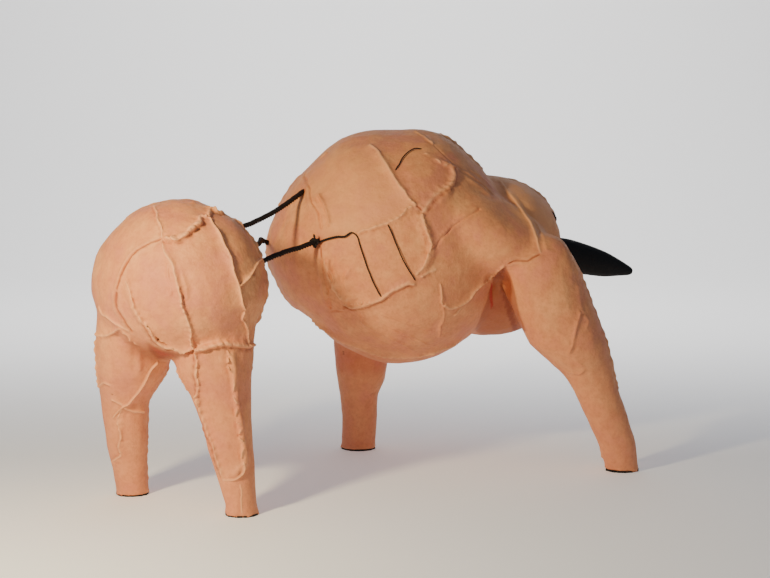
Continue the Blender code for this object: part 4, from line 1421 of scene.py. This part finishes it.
@dataclass
class TwistedCord:
    """A laid cord of three strands along its CAD route."""

    node: str
    route: tuple[Point, ...]
    leaves: Point
    length: float
    diameter: float = 6.0 * MM
    lay_mm: float = 15.0
    strands: int = 3
    wander: float = 0.3 * MM

    def build(self, material: bpy.types.Material) -> bpy.types.Object:
        """Args:
            material: The cord's material.

        Returns:
            The finished piece.
        """
        line = smooth_steps(np.array(self.route, float), 1.2 * MM)
        line = line + self.wander * np.column_stack([
            wander(np.arange(len(line)) * 1.2, 6.0, axis + 11) for axis in range(3)
        ])
        piece = twist(self.node + "_laid", line, self.diameter * 0.275, self.diameter * 0.265,
                      self.strands, self.lay_mm * MM)
        dress(piece, material, self.node)
        return piece


def twist(name: str, line: np.ndarray, strand: float, offset: float, strands: int,
          lay: float, sizes: np.ndarray | None = None) -> bpy.types.Object:
    """Lay strands round a line, as a rope is laid.

    Args:
        name: The piece's name.
        line: The line, as rows of points.
        strand: The radius of a strand.
        offset: How far a strand's middle lies from the line.
        strands: How many strands.
        lay: The length of one full turn.
        sizes: How thick the piece is at each point, as shares of full thickness.

    Returns:
        The piece, as a mesh.
    """
    along = unit(np.gradient(line, axis=0))
    side = np.cross(along[0], (0.0, 0.0, 1.0))
    sides = []
    for direction in along:
        side = side - direction * np.dot(side, direction)
        side = side / np.linalg.norm(side)
        sides.append(side)
    sides = np.array(sides)
    ups = np.cross(along, sides)
    reach = run_along(line)
    share = np.ones(len(line)) if sizes is None else sizes
    curve = bpy.data.curves.new(name, "CURVE")
    curve.dimensions = "3D"
    curve.bevel_depth = strand
    curve.bevel_resolution = 2
    curve.use_fill_caps = True
    for number in range(strands):
        turn = reach / lay * math.tau + math.tau * number / strands
        spiral = np.cos(turn)[:, None] * sides + np.sin(turn)[:, None] * ups
        centres = line + offset * share[:, None] * spiral
        spline = curve.splines.new("POLY")
        spline.points.add(len(centres) - 1)
        for index, (mark, place) in enumerate(zip(spline.points, centres)):
            mark.co = (*place, 1.0)
            mark.radius = share[index]
    piece = bpy.data.objects.new(name, curve)
    bpy.context.scene.collection.objects.link(piece)
    activate(piece)
    bpy.ops.object.convert(target="MESH")
    piece = bpy.context.object
    with edited(piece.data) as bm:
        bmesh.ops.remove_doubles(bm, verts=bm.verts, dist=MERGE_TUBE)
        bmesh.ops.recalc_face_normals(bm, faces=bm.faces)
    bpy.ops.object.shade_smooth()
    return piece


@dataclass
class Lacing:
    """A thin lace or stitch of two waxed threads, drawn tight over the skin.

    It is thicker by extra up to a share thick_until of its length.
    """

    node: str
    route: tuple[Point, ...]
    radius: float = 0.85 * MM
    lay_mm: float = 5.0
    thick_until: float = 0.0
    extra: float = 0.75
    taper: float = 60.0
    strand_share: float = 0.62

    def build(self, material: bpy.types.Material) -> bpy.types.Object:
        """Build the lace and dress it.

        Args:
            material: Its material.

        Returns:
            The finished piece.
        """
        line = smooth_steps(np.array(self.route, float), 0.9 * MM)
        strand = self.radius * self.strand_share
        run = np.linspace(0.0, 1.0, len(line))
        sizes = 1.0 + self.extra / (1.0 + np.exp((run - self.thick_until) * self.taper))
        piece = twist(self.node + "_thread", line, strand, self.radius - strand, 2,
                      self.lay_mm * MM, sizes)
        return dress(piece, material, self.node)


@dataclass
class Knot:
    """The overhand knot on the lower cord, with its loose end standing up."""

    centre: Point
    along: Point
    size: float = 5.2 * MM
    strand: float = 2.3 * MM

    def build(self, material: bpy.types.Material) -> bpy.types.Object:
        """Build the knot and dress it.

        Args:
            material: Its material.

        Returns:
            The finished piece.
        """
        turns = np.linspace(0.0, math.tau, 72)
        loop = np.column_stack((
            np.sin(turns) + 2 * np.sin(2 * turns),
            np.cos(turns) - 2 * np.cos(2 * turns),
            -1.1 * np.sin(3 * turns),
        )) * (self.size / 3.0)
        turn = Vector(self.along).to_track_quat("Z", "Y").to_matrix()
        line = np.array([turn @ Vector(point) for point in loop]) * 0.9 + np.array(self.centre)
        body = twist("knot_turns", line, self.strand * 0.62, self.strand * 0.38, 2, 9 * MM)
        start = np.array(self.centre) + np.array((0.0, -2.0, 1.5)) * MM
        end = np.array([start, start + np.array((0.3, -0.5, 4.0)) * MM,
                        start + np.array((-0.6, -0.9, 8.6)) * MM])
        tip_line = smooth_steps(end, 0.8 * MM)
        tip = twist("knot_end", tip_line, 1.1 * MM, 0.7 * MM, 2, 7 * MM,
                    np.linspace(1.0, 0.65, len(tip_line)))
        activate(body)
        tip.select_set(True)
        bpy.ops.object.join()
        body.name = "knot_tied"
        return dress(body, material, "knot")


@dataclass
class Tail:
    """The black horn: leather drawn over a core, with a soft wave along its lower edge.

    Each station is its share of the length, and half its height and width in millimetres.
    """

    root: Point = (0.229, 0.1460, 0.2600)
    tip: Point = (0.3262, 0.1652, 0.2340)
    stations: tuple[Point, ...] = (
        (-0.14, 18.0, 15.0), (0.00, 20.0, 16.5), (0.10, 21.0, 16.9), (0.29, 20.0, 15.8),
        (0.46, 18.4, 14.2), (0.61, 16.2, 12.4), (0.70, 13.8, 10.8), (0.81, 10.6, 8.6),
        (0.90, 7.6, 6.4), (0.97, 5.2, 4.6), (1.00, 2.6, 2.4),
    )
    wave: float = 0.025
    waves: float = 21.0

    def build(self, material: bpy.types.Material) -> bpy.types.Object:
        """Build the tail and dress it.

        Args:
            material: Its material.

        Returns:
            The finished piece.
        """
        root, tip = Vector(self.root), Vector(self.tip)
        along = (tip - root).normalized()
        side = along.cross(Vector((0.0, 0.0, 1.0))).normalized()
        up = side.cross(along)
        deselect()
        bpy.ops.mesh.primitive_circle_add(vertices=24, radius=1.0, fill_type="NGON")
        piece = bpy.context.object
        piece.name = "tail_horn"
        with edited(piece.data) as bm:
            ring = bm.verts[:]
            rings = [ring]
            for _ in self.stations[1:]:
                rings.append([bm.verts.new(vert.co) for vert in ring])
            for number, (low, high) in enumerate(zip(rings, rings[1:])):
                for index in range(len(low)):
                    after = (index + 1) % len(low)
                    bm.faces.new((low[index], low[after], high[after], high[index]))
            bm.faces.new(rings[-1])
            for row, (share, tall, wide) in zip(rings, self.stations):
                for index, vert in enumerate(row):
                    angle = math.tau * index / len(row)
                    wave = self.wave * math.sin(share * self.waves) * (math.sin(angle) < -0.3)
                    centre = root.lerp(tip, share)
                    vert.co = centre + side * wide * MM * math.cos(angle)
                    vert.co += up * tall * MM * math.sin(angle) * (1.0 + wave)
            bmesh.ops.recalc_face_normals(bm, faces=bm.faces)
        apply_modifier(piece, "SUBSURF", levels=2, render_levels=2)
        bpy.ops.object.shade_smooth()
        return dress(piece, material, "tail")


@dataclass
class Sole:
    """A black leather sole, cut by hand, so that its edge is ragged."""

    node: str
    ragged: float = 0.9 * MM
    seed: int = 1

    def build(self, material: bpy.types.Material) -> bpy.types.Object:
        """Build the sole and dress it.

        Args:
            material: Its material.

        Returns:
            The finished piece.
        """
        piece = mesh_copy(self.node, self.node + "_cut")
        low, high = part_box(self.node)
        centre = (np.array(low) + np.array(high)) / 2
        with edited(piece.data) as bm:
            bmesh.ops.dissolve_limit(bm, angle_limit=0.02, verts=bm.verts, edges=bm.edges)
            rim = [
                edge for edge in bm.edges
                if abs(edge.verts[0].co.z - edge.verts[1].co.z) < 0.1 * MM
            ]
            bmesh.ops.subdivide_edges(bm, edges=rim, cuts=2)
        places = read_rows(piece.data.vertices, "co")
        out = places - centre
        out[:, 2] = 0.0
        angle = np.arctan2(out[:, 1], out[:, 0])
        edge = wander(angle * 12 + 60, 1.0, self.seed) * self.ragged - 0.5 * self.ragged
        places += unit(out) * edge[:, None]
        set_positions(piece.data, places)
        return dress(piece, material, self.node)


CORDS = (
    TwistedCord("cord_upper", (
        (-0.168, -0.1250, 0.3070), (-0.1604, -0.1092, 0.3092), (-0.1552, -0.0974, 0.3108),
        (-0.1498, -0.0856, 0.3124), (-0.1446, -0.0738, 0.3140), (-0.1392, -0.0622, 0.3160),
        (-0.1338, -0.0506, 0.3184), (-0.1282, -0.0392, 0.3210), (-0.1226, -0.0278, 0.3240),
        (-0.1172, -0.0164, 0.3272), (-0.1116, -0.0052, 0.3306), (-0.106, 0.0060, 0.3344),
        (-0.1002, 0.0170, 0.3384), (-0.095, 0.0284, 0.3418), (-0.0876, 0.0440, 0.3470),
    ), (-0.1630, -0.1145, 0.3085), 0.192),
    TwistedCord("cord_lower", (
        (-0.145, -0.1274, 0.2656), (-0.136, -0.1126, 0.2700), (-0.1288, -0.1010, 0.2732),
        (-0.1212, -0.0896, 0.2760), (-0.1134, -0.0782, 0.2782), (-0.1062, -0.0664, 0.2800),
        (-0.0988, -0.0546, 0.2814), (-0.091, -0.0430, 0.2828), (-0.0828, -0.0320, 0.2852),
        (-0.0664, -0.0070, 0.2890),
    ), (-0.1390, -0.1175, 0.2685), 0.146),
    TwistedCord("cord_middle", (
        (-0.165, -0.1076, 0.2830), (-0.1564, -0.0912, 0.2830), (-0.1504, -0.0796, 0.2834),
        (-0.1482, -0.0664, 0.2838), (-0.1466, -0.0530, 0.2838), (-0.1454, -0.0398, 0.2840),
        (-0.1448, -0.0264, 0.2840), (-0.1442, -0.0130, 0.2838), (-0.144, 0.0002, 0.2836),
        (-0.144, 0.0136, 0.2836), (-0.1442, 0.0270, 0.2836), (-0.1446, 0.0404, 0.2838),
        (-0.1452, 0.0536, 0.2842), (-0.1426, 0.0664, 0.2816), (-0.1296, 0.0766, 0.2732),
    ), (-0.1595, -0.0970, 0.2830), 0.197),
)

LACINGS = (
    Lacing("lace", (
        (-0.0711, -0.0227, 0.2872), (-0.0676, -0.0222, 0.2886), (-0.0586, -0.0258, 0.2918),
        (-0.0496, -0.0296, 0.2940), (-0.0404, -0.0336, 0.2946), (-0.0324, -0.0356, 0.2994),
        (-0.0258, -0.0378, 0.2950), (-0.023, -0.0398, 0.2864), (-0.0202, -0.0412, 0.2776),
        (-0.0172, -0.0422, 0.2688), (-0.0144, -0.0420, 0.2602), (-0.011, -0.0410, 0.2514),
        (-0.0076, -0.0402, 0.2428), (-0.0036, -0.0386, 0.2344), (0.0008, -0.0366, 0.2260),
        (0.0074, -0.0282, 0.2170),
    ), thick_until=0.30),
    Lacing("stitch_right", (
        (0.0068, -0.0322, 0.3166), (0.0114, -0.0412, 0.3070), (0.0154, -0.0432, 0.2982),
        (0.0188, -0.0444, 0.2896), (0.0226, -0.0450, 0.2806), (0.0262, -0.0454, 0.2720),
        (0.0304, -0.0444, 0.2636), (0.0354, -0.0430, 0.2550), (0.0404, -0.0410, 0.2470),
        (0.0456, -0.0324, 0.2374),
    )),
    Lacing("stitch_top", (
        (0.015, -0.0086, 0.3612), (0.0206, -0.0058, 0.3738), (0.0242, -0.0010, 0.3788),
        (0.0264, 0.0034, 0.3834), (0.0298, 0.0092, 0.3880), (0.034, 0.0142, 0.3920),
        (0.0388, 0.0180, 0.3950), (0.0444, 0.0204, 0.3968), (0.0554, 0.0288, 0.3948),
    )),
    Lacing("stitch_rump", (
        (0.2130, 0.1180, 0.3170), (0.2186, 0.1172, 0.3122), (0.2208, 0.1172, 0.3088),
        (0.2222, 0.1172, 0.3050), (0.2200, 0.1180, 0.3010),
    ), radius=1.6 * MM),
)


# Stage, light and camera

@dataclass(frozen=True)
class Lamp:
    """A square lamp: where it hangs, what it points at, its side, watts and colour."""

    name: str
    place: Point
    target: Point
    size: float
    power: float
    colour: Point = (1.0, 1.0, 1.0)

    def hang(self) -> None:
        """Hang the lamp."""
        lamp = bpy.data.lights.new(self.name, "AREA")
        lamp.energy = self.power
        lamp.size = self.size
        lamp.color = self.colour
        hung = bpy.data.objects.new(self.name, lamp)
        bpy.context.scene.collection.objects.link(hung)
        hung.location = self.place
        aim = Vector(self.target) - Vector(self.place)
        hung.rotation_euler = aim.to_track_quat("-Z", "Y").to_euler()


@dataclass(frozen=True)
class Studio:
    """A pale sweep, soft lamps and the camera."""

    sweep_colour: str = "#f6f5f3"
    sweep_glow: float = 0.22
    sky_strength: float = 0.21
    sky_colour: tuple[float, float, float, float] = (0.93, 1.0, 1.24, 1.0)
    lens_mm: float = 85.0
    lamps: tuple[Lamp, ...] = (
        Lamp("key", (-0.52, -0.743, 0.57), (-0.10, -0.05, 0.22), 0.08, 8.8, (1.0, 0.82, 0.49)),
        Lamp("backdrop", (0.0, 1.3, 1.9), (0.0, 3.4, 0.6), 1.8, 75.0),
    )

    def build(self) -> None:
        """Set the sweep, the lamps, the sky and the camera."""
        self.lay_sweep()
        for lamp in self.lamps:
            lamp.hang()
        world = bpy.data.worlds.new("studio")
        bpy.context.scene.world = world
        world.use_nodes = True
        sky = world.node_tree.nodes["Background"]
        sky.inputs["Color"].default_value = self.sky_colour
        sky.inputs["Strength"].default_value = self.sky_strength
        camera = bpy.data.objects.new("camera", bpy.data.cameras.new("camera"))
        bpy.context.scene.collection.objects.link(camera)
        camera.location = DRAWING.eye
        camera.rotation_euler = (math.radians(90.0 - DRAWING.pitch_deg), 0.0, 0.0)
        camera.data.lens = self.lens_mm
        camera.data.sensor_width = 36.0
        camera.data.clip_end = 20.0
        bpy.context.scene.camera = camera

    def lay_sweep(self) -> None:
        """Lay a pale floor that curves up behind the sculpture."""
        deselect()
        bpy.ops.mesh.primitive_plane_add(size=6.0, location=(0.0, 0.5, 0.0))
        sweep = bpy.context.object
        sweep.name = "sweep"
        bpy.ops.object.mode_set(mode="EDIT")
        bpy.ops.mesh.select_mode(type="EDGE")
        bpy.ops.mesh.select_all(action="DESELECT")
        bpy.ops.object.mode_set(mode="OBJECT")
        for edge in sweep.data.edges:
            ends = [sweep.data.vertices[number].co for number in edge.vertices]
            edge.select = all(end.y > 2.9 for end in ends)
        bpy.ops.object.mode_set(mode="EDIT")
        bpy.ops.mesh.extrude_region_move(TRANSFORM_OT_translate={"value": (0.0, 0.0, 3.0)})
        bpy.ops.object.mode_set(mode="OBJECT")
        apply_modifier(sweep, "BEVEL", width=1.2, segments=16, limit_method="ANGLE")
        bpy.ops.object.shade_smooth()
        material, _, shader = new_material("pale_paper", 0.9, 0.1)
        shader.inputs["Base Color"].default_value = linear(self.sweep_colour)
        shader.inputs["Emission Color"].default_value = linear(self.sweep_colour)
        shader.inputs["Emission Strength"].default_value = self.sweep_glow
        sweep.data.materials.append(material)


def cord_plugs(body: str) -> tuple[tuple[Point, Point, float], ...]:
    """The plugs that stop a body's cord holes while its skin is worked."""
    return tuple((mouth, inside, CORD_PLUG) for mouth, inside in CORD_MOUTHS[body])


def main() -> None:
    """Build every piece in order."""
    logging.basicConfig(level=logging.INFO, format="%(name)s: %(message)s")
    leather = SKIN.build()
    cord_stock = CORD_STOCK.build()
    black = BLACK_LEATHER.build()
    Studio().build()
    pieces = [cord.build(cord_stock) for cord in CORDS]
    pieces += [lacing.build(cord_stock) for lacing in LACINGS]
    pieces.append(Knot((-0.0766, -0.0226, 0.2866), (-0.0164, -0.0250, -0.0038)).build(cord_stock))
    pieces.append(Tail().build(black))
    for seed, node in enumerate(("sole_left", "sole_right", "sole_far", "sole_hind")):
        pieces.append(Sole(node, seed=seed + 3).build(black))
    dome = SkinBody(
        "dome_body", (-0.223, -0.148, 0.246), 2.35 * MM, 3.2 * MM, DOME_SEAMS, DOME_SPOTS,
        (), DOME_PATCHES, (), cord_plugs("dome"), seed=1,
    )
    pieces.append(dome.build(leather))
    ball = SkinBody(
        "ball_body", (0.015, 0.100, 0.273), 3.1 * MM, 3.4 * MM, BALL_SEAMS, BALL_SPOTS,
        BALL_TINTS_AND_SHADES, BALL_PATCHES, BALL_DENTS, cord_plugs("ball") + (TAIL_PLUG,), seed=2,
    )
    pieces.append(ball.build(leather))
    for piece in pieces:
        count = sum(len(face.vertices) - 2 for face in piece.data.polygons)
        LOG.info("%s: %d triangles", piece.name, count)


if __name__ == "__main__":
    main()
